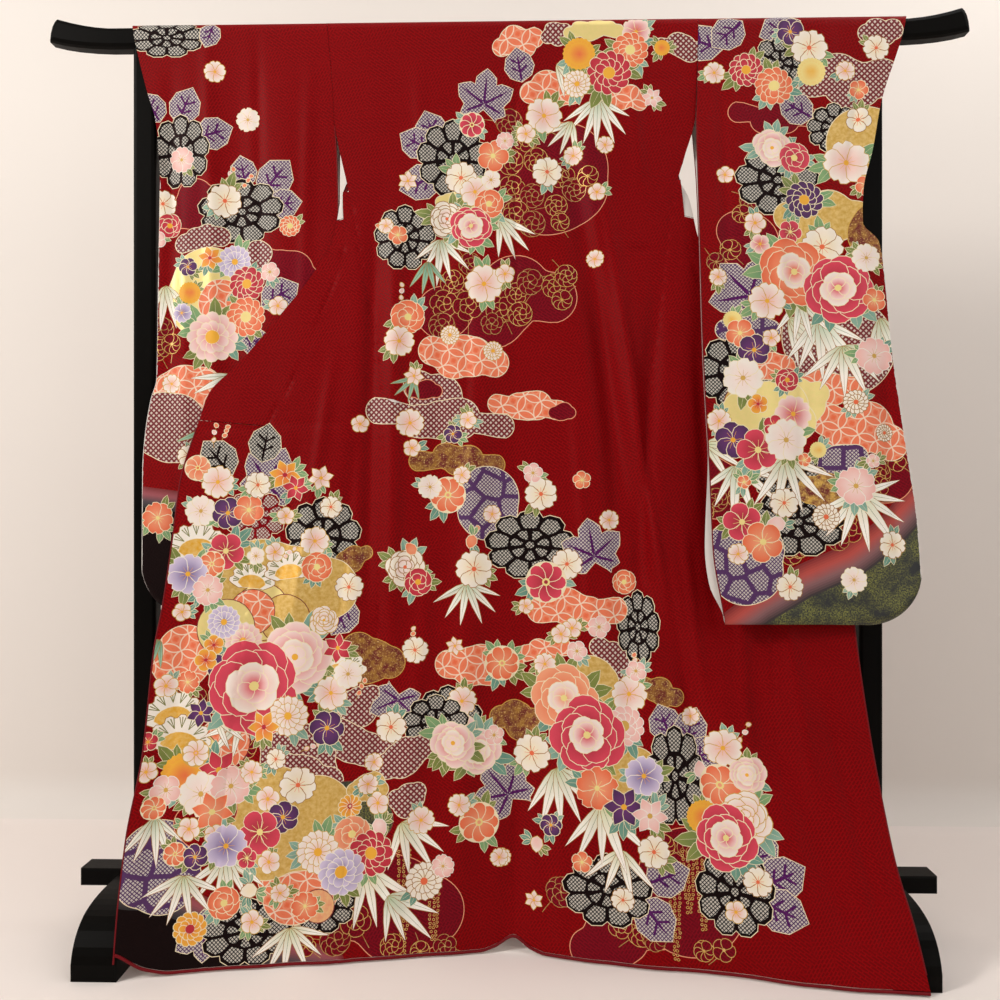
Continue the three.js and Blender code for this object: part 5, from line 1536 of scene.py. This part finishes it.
def draw_lower_left():
    airbrush(body, [(60, 880), (110, 872), (170, 880), (225, 905), (275, 935), (340, 948), (372, 1030),
                    (60, 1040)],
             [RED, dye("#9c4a52"), dye("#4c3a40"), BLACK], BLACK)
    draw_clouds(body, """
        flat 392 905 150 110 wine -20 30
        """)
    draw_wisteria(body, """
        404 850 104
        434 880 60
        """)
    draw_lines(body, """
        335 940 14
        356 921 14
        392 946 11
        445 946 11
        420 951 9
        306 946 9
        196 699 11
        187 684 11
        372 668 11
        330 560 12
        246 748 10
        """)
    draw_clouds(body, """
        palm 268 484 80 80 purple -25 1
        mum 256 516 60 52 red 0 2
        leaf 232 476 46 46 black 40 3
        leaf 262 462 40 40 black -10 3
        mum 323 536 74 76 black 0 4
        dark 352 562 54 24 brown 35 5
        leaf 352 600 40 40 purple 150 5
        dark 372 660 70 50 brown -20 6
        gilt 262 584 206 106 gold -4 8
        shippo 186 652 66 62 orange 0 7
        disc 262 612 56 56 straw 0 10
        disc 285 620 50 50 gold 0 10
        ring 252 612 44 60 orange 0 10
        disc 226 628 56 56 straw 0 10
        kanoko 361 704 50 40 red 10 12
        kanoko 352 744 150 42 red -8 13
        palm 398 700 66 66 purple 170 14
        mum 436 722 64 52 black 0 15
        kanoko 404 758 70 40 red 25 16
        kanoko 298 758 88 66 red -20 17
        ring 222 744 50 50 orange 0 18
        disc 196 756 44 44 straw 0 18
        net 158 872 78 78 purple 0 19
        palm 205 932 58 58 purple 120 20
        mum 246 932 84 60 black 0 21
        mum 320 906 66 50 black 0 22
        shippo 299 884 80 62 orange 0 23
        disc 318 906 30 30 coral 0 24
        kanoko 408 800 42 30 red 20 25
        kanoko 306 776 80 44 red -30 29
        moss 353 808 88 58 moss -10 26
        gilt 281 819 136 104 gold 10 27
        gilt 368 786 42 28 gold 0 28
        flat 205 820 60 50 crimson 0 29
        """)
    draw_pines(body, """
        197 548 29 4
        252 582 22 -6
        289 572 24 8
        340 672 26 4
        174 716 28 6
        180 742 29 -4
        """)
    draw_bamboo(body, """
        402 822 50 212 5 24
        155 818 40 184 5 22
        226 858 48 180 6 22
        366 868 56 205 4 22
        388 896 50 222 5 24
        184 876 44 180 6 26
        290 928 44 190 6 26
        160 640 30 150 4 24
        240 722 36 140 3 30
        216 716 34 230 3 30
        """)
    draw_twigs(body, """
        214 448 22 10
        222 440 14 -30
        300 545 18 120
        356 700 20 -20
        300 752 18 -60
        """)
    draw_flowers(body, """
        round 198 468 12 orange 1
        cherry 218 482 15 white 2
        cherry 201 511 14 pale 2
        bell 228 513 15 purple 1
        plum 249 510 14 coral 1
        star 285 475 14 amber 2
        star 296 488 12 red 2
        star 321 478 11 white 1
        cherry 258 485 12 ivory 1
        plum 286 516 8 white 2
        plum 226 551 17 rose 3
        round 212 564 12 coral 1
        cherry 188 574 18 lilac 3
        cherry 208 590 14 pink 3
        plum 182 612 8 white 1
        cherry 331 507 10 ivory 1
        cherry 315 541 13 white 1
        camellia 317 567 14 coral 2
        cherry 349 587 13 ivory 0
        plum 275 552 9 white 1
        plum 256 556 8 pale 2
        kiku 243 641 17 blush 1
        kiku 224 622 15 lilac 1
        plum 214 645 9 amber 1
        plum 283 640 7 white 0
        peony 324 620 13 white 1
        peony 295 657 31 blush 4
        star 338 648 13 red 1
        bell 223 668 14 purple 2
        plum 206 660 10 amber 1
        cherry 188 682 10 coral 1
        plum 166 686 10 white 1
        star 201 713 12 purple 0
        peony 254 686 44 rose 5
        kiku 288 716 18 white 2
        cherry 331 693 15 white 3
        cherry 348 674 13 pale 1
        star 264 727 14 amber 1
        bell 327 728 16 purple 2
        cherry 391 727 14 ivory 1
        peony 453 743 21 blush 4
        cherry 374 762 8 white 0
        ball 184 776 20 amber 3
        round 196 753 12 white 1
        star 219 770 17 red 2
        cherry 201 794 19 pale 3
        cherry 231 786 17 pink 3
        star 212 812 17 coral 2
        cherry 252 772 10 white 3
        cherry 276 759 9 ivory 2
        cherry 298 785 16 ivory 0
        plum 268 799 11 white 0
        bell 283 817 14 purple 0
        plum 260 832 19 rose 0
        plum 166 790 13 pink 2
        round 154 808 10 coral 1
        plum 189 829 10 white 2
        plum 214 834 8 white 1
        daisy 350 806 10 amber 0
        cherry 368 784 9 white 2
        plum 378 803 10 white 2
        bud 379 825 10 pink 2
        camellia 352 834 16 orange 2
        rosette 371 853 20 red 2
        kiku 318 852 19 white 3
        rosette 341 872 20 lilac 2
        cherry 226 846 18 lilac 3
        plum 247 858 9 rose 1
        plum 269 862 10 white 1
        round 175 854 10 coral 2
        bell 195 857 11 purple 2
        rosette 190 929 14 amber 0
        camellia 224 903 14 coral 2
        plum 252 922 10 white 3
        bud 251 890 10 ivory 3
        cherry 421 820 12 white 1
        kiku 424 881 17 ivory 1
        cherry 443 866 10 pink 1
        cherry 305 906 12 coral 1
        cherry 280 893 8 white 3
        cherry 155 560 9 ivory 1
        plum 148 742 8 red 1
        plum 146 772 9 white 1
        """, 5)


def draw_middle():
    """The back and the lower right: clouds first, then flowers, thinner than on the left."""
    draw_clouds(body, """
        flat 552 176 118 124 wine -20 61
        flat 502 302 176 86 wine 4 62
        flat 622 935 120 60 wine 20 63
        flat 690 900 76 120 wine 0 64
        flat 446 312 60 60 wine 0 65
        """)
    draw_lines(body, """
        509 122 13
        526 140 12
        510 162 13
        540 128 10
        536 160 12
        512 188 13
        532 196 12
        516 214 13
        562 176 13
        574 190 12
        556 206 11
        588 176 10
        532 224 13
        560 222 9
        452 282 12
        470 264 11
        444 304 14
        468 306 15
        442 326 13
        500 310 14
        516 294 11
        530 282 13
        554 286 12
        566 276 11
        492 324 11
        520 314 12
        562 300 10
        561 892 14
        641 932 13
        620 926 11
        655 940 10
        704 951 9
        724 950 10
        690 846 12
        664 846 10
        """)
    draw_wisteria(body, """
        674 862 90
        702 858 66
        688 850 60
        """)
    draw_clouds(body, """
        shippo 518 42 60 34 orange 4 31
        kanoko 556 34 34 24 red 0 31
        gilt 594 30 70 22 straw 0 31
        kanoko 684 47 74 28 red -12 31
        leaf 522 82 36 36 purple 10 31
        shippo 552 92 74 40 orange -6 32
        shippo 626 98 50 24 orange -10 33
        palm 484 104 72 72 purple -6 34
        leaf 438 148 40 40 purple 20 34
        leaf 432 152 38 38 purple 60 34
        leaf 440 176 44 44 purple 110 34
        mum 453 159 72 78 black 0 35
        mum 405 238 62 66 black 0 35
        gilt 458 204 50 22 straw 0 35
        kanoko 434 398 74 50 red -20 40
        kanoko 440 420 188 46 red -4 40
        shippo 528 406 98 34 orange -6 39
        shippo 464 354 108 46 orange -8 38
        flat 562 412 30 20 wine 0 39
        flat 424 390 42 22 wine 0 39
        dark 457 461 118 34 brown -4 41
        net 487 502 54 68 purple 0 42
        mum 530 545 90 68 black 0 43
        palm 594 556 76 76 purple 10 44
        kanoko 618 658 72 30 red -40 48
        mum 638 627 42 70 black 0 45
        dark 660 690 56 28 brown -14 45
        shippo 577 612 118 42 orange -6 46
        shippo 545 652 64 24 orange 4 46
        shippo 480 664 104 46 orange -2 47
        dark 518 718 64 38 brown -10 49
        mum 448 718 66 62 black 0 50
        gilt 588 682 58 56 gold 0 49
        palm 508 794 78 78 purple 40 49
        gilt 628 772 44 54 gold 90 50
        leaf 672 742 38 38 purple 20 52
        leaf 684 748 40 40 purple -20 52
        leaf 690 764 40 40 purple -60 52
        mum 675 776 56 92 black 0 53
        leaf 646 884 44 44 purple -70 51
        leaf 640 900 46 46 purple -140 51
        mum 607 890 84 66 black 0 51
        leaf 752 870 42 42 purple -20 54
        leaf 760 888 46 46 purple -62 54
        leaf 758 900 46 46 purple -110 54
        mum 735 892 70 78 black 0 55
        kanoko 425 745 40 30 red 0 56
        """)
    draw_bamboo(body, """
        557 64 36 232 4 26
        598 100 46 180 7 20
        572 122 36 150 4 24
        621 850 44 176 4 30
        441 240 42 184 6 24
        500 218 42 212 4 22
        428 262 31 180 4 24
        467 584 42 186 6 26
        557 768 56 196 6 20
        602 805 58 190 6 22
        414 378 24 150 4 28
        """)
    draw_twigs(body, """
        470 545 18 -10
        532 488 18 10
        734 748 26 -40
        388 232 12 60
        402 305 20 10
        636 672 16 0
        410 645 16 -20
        """)
    draw_flowers(body, """
        cherry 636 32 13 blush 1
        ball 579 54 15 amber 3
        rosette 630 50 17 coral 4
        ball 662 48 7 amber 3
        rosette 609 73 21 red 3
        kiku 577 84 13 white 2
        cherry 544 116 17 white 2
        plum 526 134 9 white 2
        star 652 98 9 pink 2
        cherry 605 145 8 white 0
        round 472 125 12 rose 2
        plum 493 156 15 coral 1
        cherry 505 141 8 pink 1
        cherry 461 178 15 ivory 1
        cherry 475 192 14 white 1
        plum 491 180 9 pale 1
        star 408 181 9 white 0
        camellia 489 204 14 coral 3
        peony 447 219 17 ivory 3
        peony 471 226 21 rose 4
        plum 398 235 9 coral 0
        cherry 386 226 7 white 0
        cherry 547 172 14 ivory 1
        cherry 573 156 9 white 2
        plum 597 192 8 white 1
        cherry 484 284 18 white 2
        plum 505 274 9 white 2
        cherry 595 259 8 white 0
        camellia 408 317 16 coral 2
        cherry 399 341 14 white 1
        kiku 450 335 9 white 0
        kiku 493 351 9 white 0
        star 414 376 9 white 1
        cherry 410 423 13 white 0
        plum 360 424 8 white 0
        bell 453 434 9 purple 3
        plum 468 420 8 white 3
        plum 412 448 8 white 1
        round 448 495 17 coral 1
        cherry 430 487 11 pale 2
        cherry 462 475 8 white 2
        cherry 492 514 8 white 0
        cherry 541 494 15 ivory 1
        plum 533 473 9 pink 2
        plum 582 480 8 coral 0
        cherry 609 520 9 white 0
        cherry 474 569 17 ivory 1
        bud 472 540 8 coral 2
        cherry 567 564 14 ivory 0
        round 546 582 19 rose 2
        plum 526 606 7 white 1
        peony 405 567 18 ivory 4
        camellia 418 582 13 red 3
        bud 412 550 8 coral 1
        cherry 415 650 12 ivory 0
        camellia 624 582 11 coral 0
        plum 599 627 10 pink 0
        plum 572 628 9 white 2
        round 502 663 16 coral 4
        star 455 646 8 white 0
        plum 561 634 9 white 2
        plum 577 651 9 pink 1
        cherry 545 664 10 white 1
        cherry 629 694 16 white 2
        plum 636 671 9 pink 2
        peony 564 698 30 orange 4
        rosette 624 726 18 pink 3
        peony 587 735 34 rose 4
        cherry 532 753 17 ivory 2
        cherry 462 701 13 white 1
        peony 457 741 23 blush 4
        peony 478 752 21 blush 3
        plum 494 735 9 pink 1
        round 479 822 18 coral 3
        cherry 459 805 10 white 1
        cherry 597 788 19 coral 2
        cherry 644 776 17 lilac 2
        star 624 807 17 purple 3
        star 650 816 15 pink 3
        bell 551 825 10 purple 3
        bud 537 842 9 white 2
        plum 582 862 9 coral 0
        cherry 654 852 14 ivory 1
        cherry 502 857 8 white 0
        star 534 900 8 white 0
        cherry 623 900 10 ivory 0
        cherry 690 716 8 white 0
        cherry 723 748 16 white 1
        bud 700 771 9 pink 1
        round 720 785 18 coral 1
        peony 747 775 16 blush 3
        ball 703 817 14 amber 2
        peony 745 818 22 white 4
        peony 726 838 27 rose 4
        cherry 758 882 12 ivory 0
        plum 736 912 9 white 0
        cherry 499 857 8 white 0
        """, 6)


def draw_left_sleeve():
    design = sleeve_left
    airbrush(design, [(80, 484), (140, 486), (215, 496), (300, 520), (320, 700), (80, 700)],
             [RED, dye("#9c4a52"), dye("#4c3a40"), BLACK], BLACK, 2.4)
    draw_clouds(design, """
        flat 286 272 84 52 wine -20 61
        flat 194 204 60 46 wine 20 62
        """)
    draw_lines(design, """
        161 330 13
        158 350 11
        172 344 10
        """)
    draw_clouds(design, """
        mum 167 38 78 40 black 0 61
        leaf 214 24 26 26 purple 160 61
        leaf 160 122 34 34 purple 30 63
        leaf 178 124 40 40 purple -24 63
        leaf 196 140 40 40 purple -70 63
        mum 181 152 60 74 black 0 64
        leaf 246 188 34 34 purple 10 65
        leaf 262 196 46 46 purple -40 65
        leaf 268 206 36 36 purple -84 65
        mum 242 212 88 66 black 0 66
        kanoko 202 240 66 30 red 0 69
        kanoko 256 258 34 34 red 0 69
        leaf 262 306 44 44 purple -60 70
        leaf 240 336 34 34 purple -110 70
        gilt 208 288 76 88 straw 0 70
        shippo 222 300 44 50 orange 0 70
        shippo 186 390 74 60 orange 0 72
        kanoko 172 428 64 84 red 80 74
        """)
    draw_bamboo(design, """
        166 286 44 186 4 24
        232 376 40 120 3 26
        206 430 31 140 3 26
        """)
    draw_twigs(design, """
        226 186 18 -10
        240 190 18 -50
        """)
    draw_flowers(design, """
        cherry 215 72 10 white 0
        cherry 248 120 11 pale 0
        cherry 182 160 12 pink 1
        cherry 225 201 16 ivory 2
        rosette 290 226 10 coral 1
        cherry 163 204 13 ivory 1
        camellia 170 226 12 red 1
        plum 156 240 9 pink 2
        bell 188 267 9 purple 2
        kiku 235 262 16 lilac 3
        star 210 258 11 amber 1
        rosette 247 284 17 red 2
        ball 190 293 10 amber 2
        rosette 246 317 19 coral 2
        cherry 182 313 9 lilac 1
        rosette 212 337 24 blush 4
        plum 270 272 9 pink 1
        plum 278 306 9 white 1
        cherry 172 384 9 white 0
        cherry 158 518 15 coral 3
        cherry 188 456 10 ivory 2
        """, 7)


def draw_right_sleeve():
    design = sleeve_right
    airbrush(design, [(700, 630), (752, 592), (796, 566), (842, 546), (880, 518), (905, 490), (960, 462),
                      (980, 720), (700, 720)],
             [RED, dye("#b8463c"), dye("#85595b"), dye("#1b1a1c")], MOSS, 3.6, MOSSY)
    draw_clouds(design, """
        flat 774 116 110 34 wine 0 84
        flat 884 470 56 60 wine 0 84
        flat 716 486 40 60 wine 0 84
        flat 748 238 60 60 wine 0 84
        """)
    draw_lines(design, """
        716 500 11
        738 498 10
        704 512 9
        887 455 11
        880 474 11
        896 462 9
        812 346 11
        826 408 11
        849 529 13
        838 540 10
        790 551 13
        800 548 9
        750 200 10
        742 214 9
        730 250 10
        716 262 9
        880 486 9
        """)
    draw_clouds(design, """
        leaf 722 50 44 44 purple 70 81
        leaf 742 22 40 40 purple 130 81
        leaf 800 22 44 44 purple 110 82
        mum 780 64 56 58 black 0 84
        kanoko 848 84 122 60 red -4 85
        kanoko 880 34 50 30 red 0 85
        leaf 812 118 40 40 purple 60 86
        mum 834 128 52 50 black 0 86
        gilt 862 142 66 84 gold 80 87
        mum 778 180 84 74 black 0 88
        gilt 822 222 106 60 gold -4 89
        dark 878 232 34 66 brown 0 90
        palm 750 296 88 88 purple 40 91
        net 748 330 70 34 purple 0 92
        kanoko 848 346 106 112 red 70 92
        mum 738 372 80 76 black 0 93
        shippo 772 366 50 32 orange 0 94
        shippo 824 386 84 34 orange 4 95
        shippo 860 430 110 54 orange -8 96
        disc 745 404 40 40 gold 0 98
        gilt 800 400 60 44 straw 0 98
        gilt 770 414 94 66 straw 4 97
        net 838 462 58 38 purple 0 99
        mum 790 478 72 50 black 0 100
        mum 798 522 92 66 black 0 101
        dark 834 496 82 46 gold -10 102
        net 744 560 76 78 purple 0 103
        """)
    draw_bamboo(design, """
        789 318 50 220 4 20
        819 320 58 190 6 20
        843 346 54 190 6 24
        706 444 44 250 4 24
        736 466 52 186 6 26
        786 458 56 184 6 26
        858 494 56 200 8 24
        800 300 44 196 5 26
        880 318 50 192 4 22
        """)
    draw_flowers(design, """
        bell 790 32 13 purple 1
        cherry 809 48 17 ivory 2
        ball 811 72 13 yellow 2
        rosette 746 70 16 red 2
        rosette 774 86 18 coral 3
        cherry 714 73 10 white 1
        cherry 845 71 9 white 1
        cherry 876 48 12 ivory 1
        plum 858 90 9 coral 1
        plum 725 175 8 white 0
        cherry 718 277 8 white 1
        peony 772 148 18 blush 3
        camellia 794 158 15 rose 3
        rosette 804 200 18 purple 3
        cherry 846 163 21 white 2
        plum 866 186 10 coral 2
        plum 858 120 12 ivory 1
        cherry 822 247 19 ivory 2
        plum 755 223 10 white 2
        plum 760 244 9 blush 2
        plum 790 232 11 rose 1
        peony 794 272 32 coral 4
        peony 838 288 32 rose 4
        cherry 767 301 17 white 2
        cherry 866 258 13 pale 2
        plum 874 300 11 coral 2
        ball 732 320 8 yellow 1
        plum 740 333 13 coral 2
        bell 754 350 15 purple 1
        plum 771 338 8 white 1
        cherry 743 378 18 pale 2
        camellia 787 380 11 red 3
        cherry 874 356 17 pink 2
        kiku 856 402 11 ivory 2
        cherry 793 414 17 blush 0
        plum 758 404 9 amber 0
        plum 774 426 10 red 1
        cherry 719 421 11 white 2
        bell 733 440 17 purple 1
        plum 758 450 19 rose 2
        cherry 786 440 19 pale 3
        ball 818 450 7 yellow 2
        kiku 884 433 8 ivory 0
        plum 804 460 6 coral 1
        cherry 856 486 17 pink 3
        plum 744 482 6 coral 3
        cherry 784 503 13 ivory 1
        kiku 826 517 12 ivory 0
        bud 778 524 11 pink 2
        plum 742 522 17 rose 3
        plum 763 542 18 coral 1
        cherry 738 554 9 white 0
        cherry 892 545 12 ivory 2
        cherry 790 587 12 ivory 1
        cherry 854 580 11 pale 1
        plum 873 461 6 pink 2
        """, 8)


def strew(design, v0, v1, x0, x1, seed, count, clouds=4):
    """A part that no view shows at once with the front: the same things, strewn."""
    rng = random.Random(seed)
    kinds = [("mum", BLACK), ("net", PURPLE), ("kanoko", DARK_RED), ("shippo", ORANGE), ("gilt", GOLD),
             ("palm", PURPLE), ("dark", OLD_GOLD)]
    for k in range(clouds):
        kind, colour = kinds[(seed + k) % len(kinds)]
        at = np.array([rng.uniform(x0, x1), rng.uniform(v0, v1)])
        w, h = rng.uniform(90, 150), rng.uniform(60, 90)
        if kind == "net":
            net(design, at, w, h, colour, seed + k)
        elif kind == "mum":
            kanoko_mum(design, at, w, h, colour, rng.uniform(0, 40), seed + k)
        elif kind == "palm":
            palm(design, at, w / 2, colour, colour, rng.uniform(0, 360))
        else:
            finish = dict(kanoko=KANOKO, shippo=SHIPPO, gilt=LEAF_GOLD, dark=BURNISHED)[kind]
            cloud(design, at, w, h, 4, finish, colour, seed=seed + k, angle=rng.uniform(-30, 30))
    for k in range(max(2, clouds // 2)):
        bamboo(design, np.array([rng.uniform(x0, x1), rng.uniform(v0, v1)]), rng.uniform(60, 80),
               180 + rng.uniform(-20, 20), 5, 26, rng)
    middle = ((x0 + x1) / 2, (v0 + v1) / 2)
    spray(design, middle, ((x1 - x0) / 2, (v1 - v0) / 2),
          [("peony", 38, ["blush", "red", "orange"], count // 12 + 1),
           ("cherry", 22, ["white", "pale", "ivory", "pink"], count // 3),
           ("plum", 18, ["rose", "coral", "orange", "white"], count // 3),
           ("bell", 20, ["purple"], count // 8),
           ("kiku", 22, ["ivory", "amber", "purple"], count // 8)], seed)


def draw_hidden():
    # The far layers of the sleeves, where v runs on over the bar and down to the foot.
    for design, x0, x1, seed in ((sleeve_left, -590, -320, 40), (sleeve_right, 370, 620, 50)):
        strew(design, RIDGE + 60, RIDGE + 330, x0, x1, seed, 9, 4)
        strew(design, RIDGE + 330, RIDGE + 660, x0, x1, seed + 2, 10, 4)
        strew(design, RIDGE + 660, 2 * RIDGE - 570, x0, x1, seed + 5, 14, 6)
    # The left sleeve under the spread front, and the fronts' far side.
    strew(sleeve_left, 760, 900, -520, -320, 60, 8, 3)
    strew(reverse, 1340, 1560, -290, -60, 70, 10, 4)
    strew(reverse, 1350, 1560, 100, 320, 80, 10, 4)


draw_middle()
draw_lower_left()
draw_left_sleeve()
draw_right_sleeve()
draw_hidden()


# ---------------------------------------------------------------- pieces
def body_lining(corners):
    """White above, red below, as a lining is pieced."""
    return np.where((corners[:, :, 1] > LINING_CHANGE)[:, :, None], WHITE_LINING, DARK_RED)


def white_lining(corners):
    return np.broadcast_to(WHITE_LINING, corners.shape[:2] + (3,))


def finished(cloth, nodes):
    piece = cloth.build()
    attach(piece, "root")
    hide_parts(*nodes)
    return piece


def make_backs():
    for name, seam in (("back_left", SIDE_SEAM_LEFT), ("back_right", SIDE_SEAM_RIGHT)):
        cloth = Cloth(name + "_cloth").chart(back_outline(seam), body_surface, body, body_lining)
        finished(cloth, [name])


SPREAD_TOP = {-1: 1284.0, 1: 1300.0}
TURNED_FOOT = {-1: 1318.0, 1: 1328.0}


def make_fronts():
    for side, name in ((-1, "left"), (1, "right")):
        shape = FRONTS[side]
        top = SPREAD_TOP[side]
        cloth = Cloth("front_" + name + "_cloth")
        cloth.chart(front_outline(shape, top), body_surface, body, body_lining)
        cloth.chart(turned_outline(shape, TURNED_FOOT[side]), turned_surface(shape), reverse, body_lining,
                    flip=True, step=12.0)
        finished(cloth, ["front_" + name])

        cloth = Cloth("okumi_" + name + "_cloth")
        cloth.chart(okumi_outline(shape), body_surface, body, body_lining)
        z = np.linspace(30, 870, 90)
        x = read(shape["edge"], "z", z, "x")
        cloth.tube(stack(x, body_depth(x, z), z), 1.5, DARK_RED)
        finished(cloth, ["okumi_" + name])


def collar_ends(shape):
    """The spread part of the collar, from its end up to where it starts to turn away."""
    seam_z = np.linspace(COLLAR_END, 1236, 50)
    seam = np.stack([read(shape["overlap"], "z", seam_z, "x"), seam_z], -1)
    free = np.stack([read(shape["collar"], "seam", seam_z, axis) for axis in "xz"], -1)
    return joined(run([seam[0], free[0]]), free, run([free[-1], seam[-1]]), seam[::-1])


def collar_round():
    """The rest of the collar, up behind the bar, round the neck and down again."""
    rows = []
    for shape in (FRONTS[-1], FRONTS[1]):
        part = []
        for seam_z in np.linspace(1238, SHOULDER_Z, 34):
            behind = read(shape["behind_collar"], "z", seam_z, "y")
            s = np.linspace(0, 1, 5)
            x = mix(read(shape["overlap"], "z", seam_z, "x"), read(shape["collar"], "seam", seam_z, "x"), s)
            z = mix(seam_z, read(shape["collar"], "seam", seam_z, "z"), s)
            y = body_depth(x, z) + mix(behind, read(shape["collar"], "seam", seam_z, "y"), s)
            part.append(stack(x, y, z))
        rows.append(part)
    neck = []
    corner = NECK_HALF - 1.6
    round_neck = [(-corner, 0.67), (-corner, 0.34), (-corner, 0.04), (-corner / 2, 0.04), (0, 0.04),
                  (corner / 2, 0.04), (corner, 0.04), (corner, 0.34), (corner, 0.67)]
    for i, (across, turn) in enumerate(round_neck):
        free_x = CENTRE_BACK + mix(-0.55, 0.55, i / 8) * NECK_HALF
        s = np.linspace(0, 1, 4)
        over = stack(*over_bar(mix(CENTRE_BACK + across, free_x, s), RIDGE - OVER_BAR * mix(turn, 1, s), 1))
        neck.append(np.concatenate([over, [[free_x, SHOULDER_Y + 5, 1524]]]))
    return rows[0] + neck + rows[1][::-1]


def make_collar():
    cloth = Cloth("collar_cloth")
    for side in (-1, 1):
        cloth.chart(collar_ends(FRONTS[side]), body_surface, body, body_lining)
    cloth.grid(collar_round(), RED, SILK)
    finished(cloth, ["collar"])


def make_sleeves():
    for sleeve, design, name in ((SLEEVE_LEFT, sleeve_left, "left"), (SLEEVE_RIGHT, sleeve_right, "right")):
        cloth = Cloth("sleeve_" + name + "_cloth")
        cloth.chart(sleeve_outline(sleeve), sleeve_surface(sleeve), design, white_lining)
        for layer in ("near", "far"):
            z = np.linspace(sleeve["bottom"] + 14, sleeve["armhole_end"] - 4, 110)
            x = sleeve_inner(sleeve, z)
            cloth.tube(stack(x, sleeve_layer(sleeve, layer, x, z), z), 1.2, RED)
        finished(cloth, ["sleeve_" + name])

        rows = []
        for z in np.linspace(sleeve["bottom"] + 10, SHOULDER_Z, 90):
            shown = 15 * smooth((880 - z) / 260) * smooth((z - sleeve["bottom"] - 4) / 60)
            inner = sleeve_inner(sleeve, z) - sleeve["side"] * shown
            outer = read(sleeve["outer_far"], "z", z, "x")
            x = mix(inner, outer, np.linspace(0.004, 0.3, 6))
            rows.append(stack(x, sleeve_layer(sleeve, "far", x, np.full(6, z)) - 2.9, np.full(6, z)))
        lining = Cloth("sleeve_lining_" + name + "_cloth")
        lining.grid(rows, WHITE_LINING, LINING, thick=0.5)
        finished(lining, ["sleeve_lining_" + name])


def make_hem():
    left = read(FRONT_EDGE_LEFT, "z", HEM_LEVEL, "x")
    right = read(FRONT_EDGE_RIGHT, "z", HEM_LEVEL, "x")
    x = np.linspace(left, right, 260)
    z = hem_height(x) - 0.75 - HEM_RADIUS
    cloth = Cloth("hem_roll_cloth").tube(stack(x, body_depth(x, z), z), HEM_RADIUS, DARK_RED)
    piece = cloth.build()
    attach(piece, "root")
    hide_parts("hem_roll")


def finish_stand():
    lacquer = lacquer_finish()
    for name in ("top_bar", "post_left", "post_right", "lower_bar", "foot_left", "foot_right"):
        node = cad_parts[name]
        node.data.materials.clear()
        node.data.materials.append(lacquer)


# ---------------------------------------------------------------- stage and light
def plain(name, colour, rough=0.8):
    n = Nodes(name)
    grain = n.noise(n.node("ShaderNodeTexCoord").outputs["Object"], 1.2, 2.0)
    n.set(Base_Color=n.blend(n.math("MULTIPLY", grain, 0.08), colour + (1,), (0.6, 0.5, 0.45, 1), "MULTIPLY"),
          Roughness=rough)
    return n.material


def make_stage():
    floor_front, wall_at, cove, width = -6.0, 0.62, 0.10, 5.0
    profile = [(floor_front, 0.0), (wall_at - cove, 0.0)]
    profile += [(wall_at - cove + cove * math.sin(a), cove - cove * math.cos(a))
                for a in np.linspace(0, math.pi / 2, 10)[1:]]
    profile += [(wall_at, 5.0)]
    for name, part, colour in (("floor", profile[:4], dye("#f6ece6")),
                               ("backdrop", profile[3:], dye("#efe8e1"))):
        mesh = bpy.data.meshes.new(name)
        verts = [(x, y, z) for y, z in part for x in (-width, width)]
        faces = [(2 * i, 2 * i + 1, 2 * i + 3, 2 * i + 2) for i in range(len(part) - 1)]
        mesh.from_pydata(verts, [], faces)
        mesh.polygons.foreach_set("use_smooth", [True] * len(faces))
        mesh.materials.append(plain(name, colour))
        piece = bpy.data.objects.new(name, mesh)
        bpy.context.scene.collection.objects.link(piece)


def area_light(name, at, aim, size, power, colour=(1, 1, 1)):
    data = bpy.data.lights.new(name, "AREA")
    data.shape = "RECTANGLE"
    data.size, data.size_y = size
    data.energy = power
    data.color = colour
    light = bpy.data.objects.new(name, data)
    light.location = at
    light.rotation_euler = (Vector(aim) - Vector(at)).to_track_quat("-Z", "Y").to_euler()
    bpy.context.scene.collection.objects.link(light)


def make_light():
    area_light("key", (-2.75, -1.95, 2.5), (0.1, 0, 0.8), (0.8, 0.8), 80, (1.0, 0.97, 0.93))
    area_light("fill", (2.2, -3.0, 1.9), (0, 0, 0.8), (2.0, 2.0), 24, (1.0, 0.98, 0.95))
    area_light("wall", (2.0, 0.1, 2.9), (1.5, 1.6, 0.6), (2.0, 0.5), 20, (1.0, 0.98, 0.96))
    area_light("overhead", (0.2, -0.9, 3.4), (0, -0.1, 0.6), (3.0, 1.6), 24, (1.0, 0.98, 0.96))
    world = bpy.data.worlds.new("studio")
    bpy.context.scene.world = world
    world.use_nodes = True
    world.node_tree.nodes["Background"].inputs["Color"].default_value = (1.0, 0.96, 0.92, 1)
    world.node_tree.nodes["Background"].inputs["Strength"].default_value = 0.13


make_camera()
make_backs()
make_fronts()
make_collar()
make_sleeves()
make_hem()
finish_stand()
make_stage()
make_light()

bpy.context.view_layer.update()
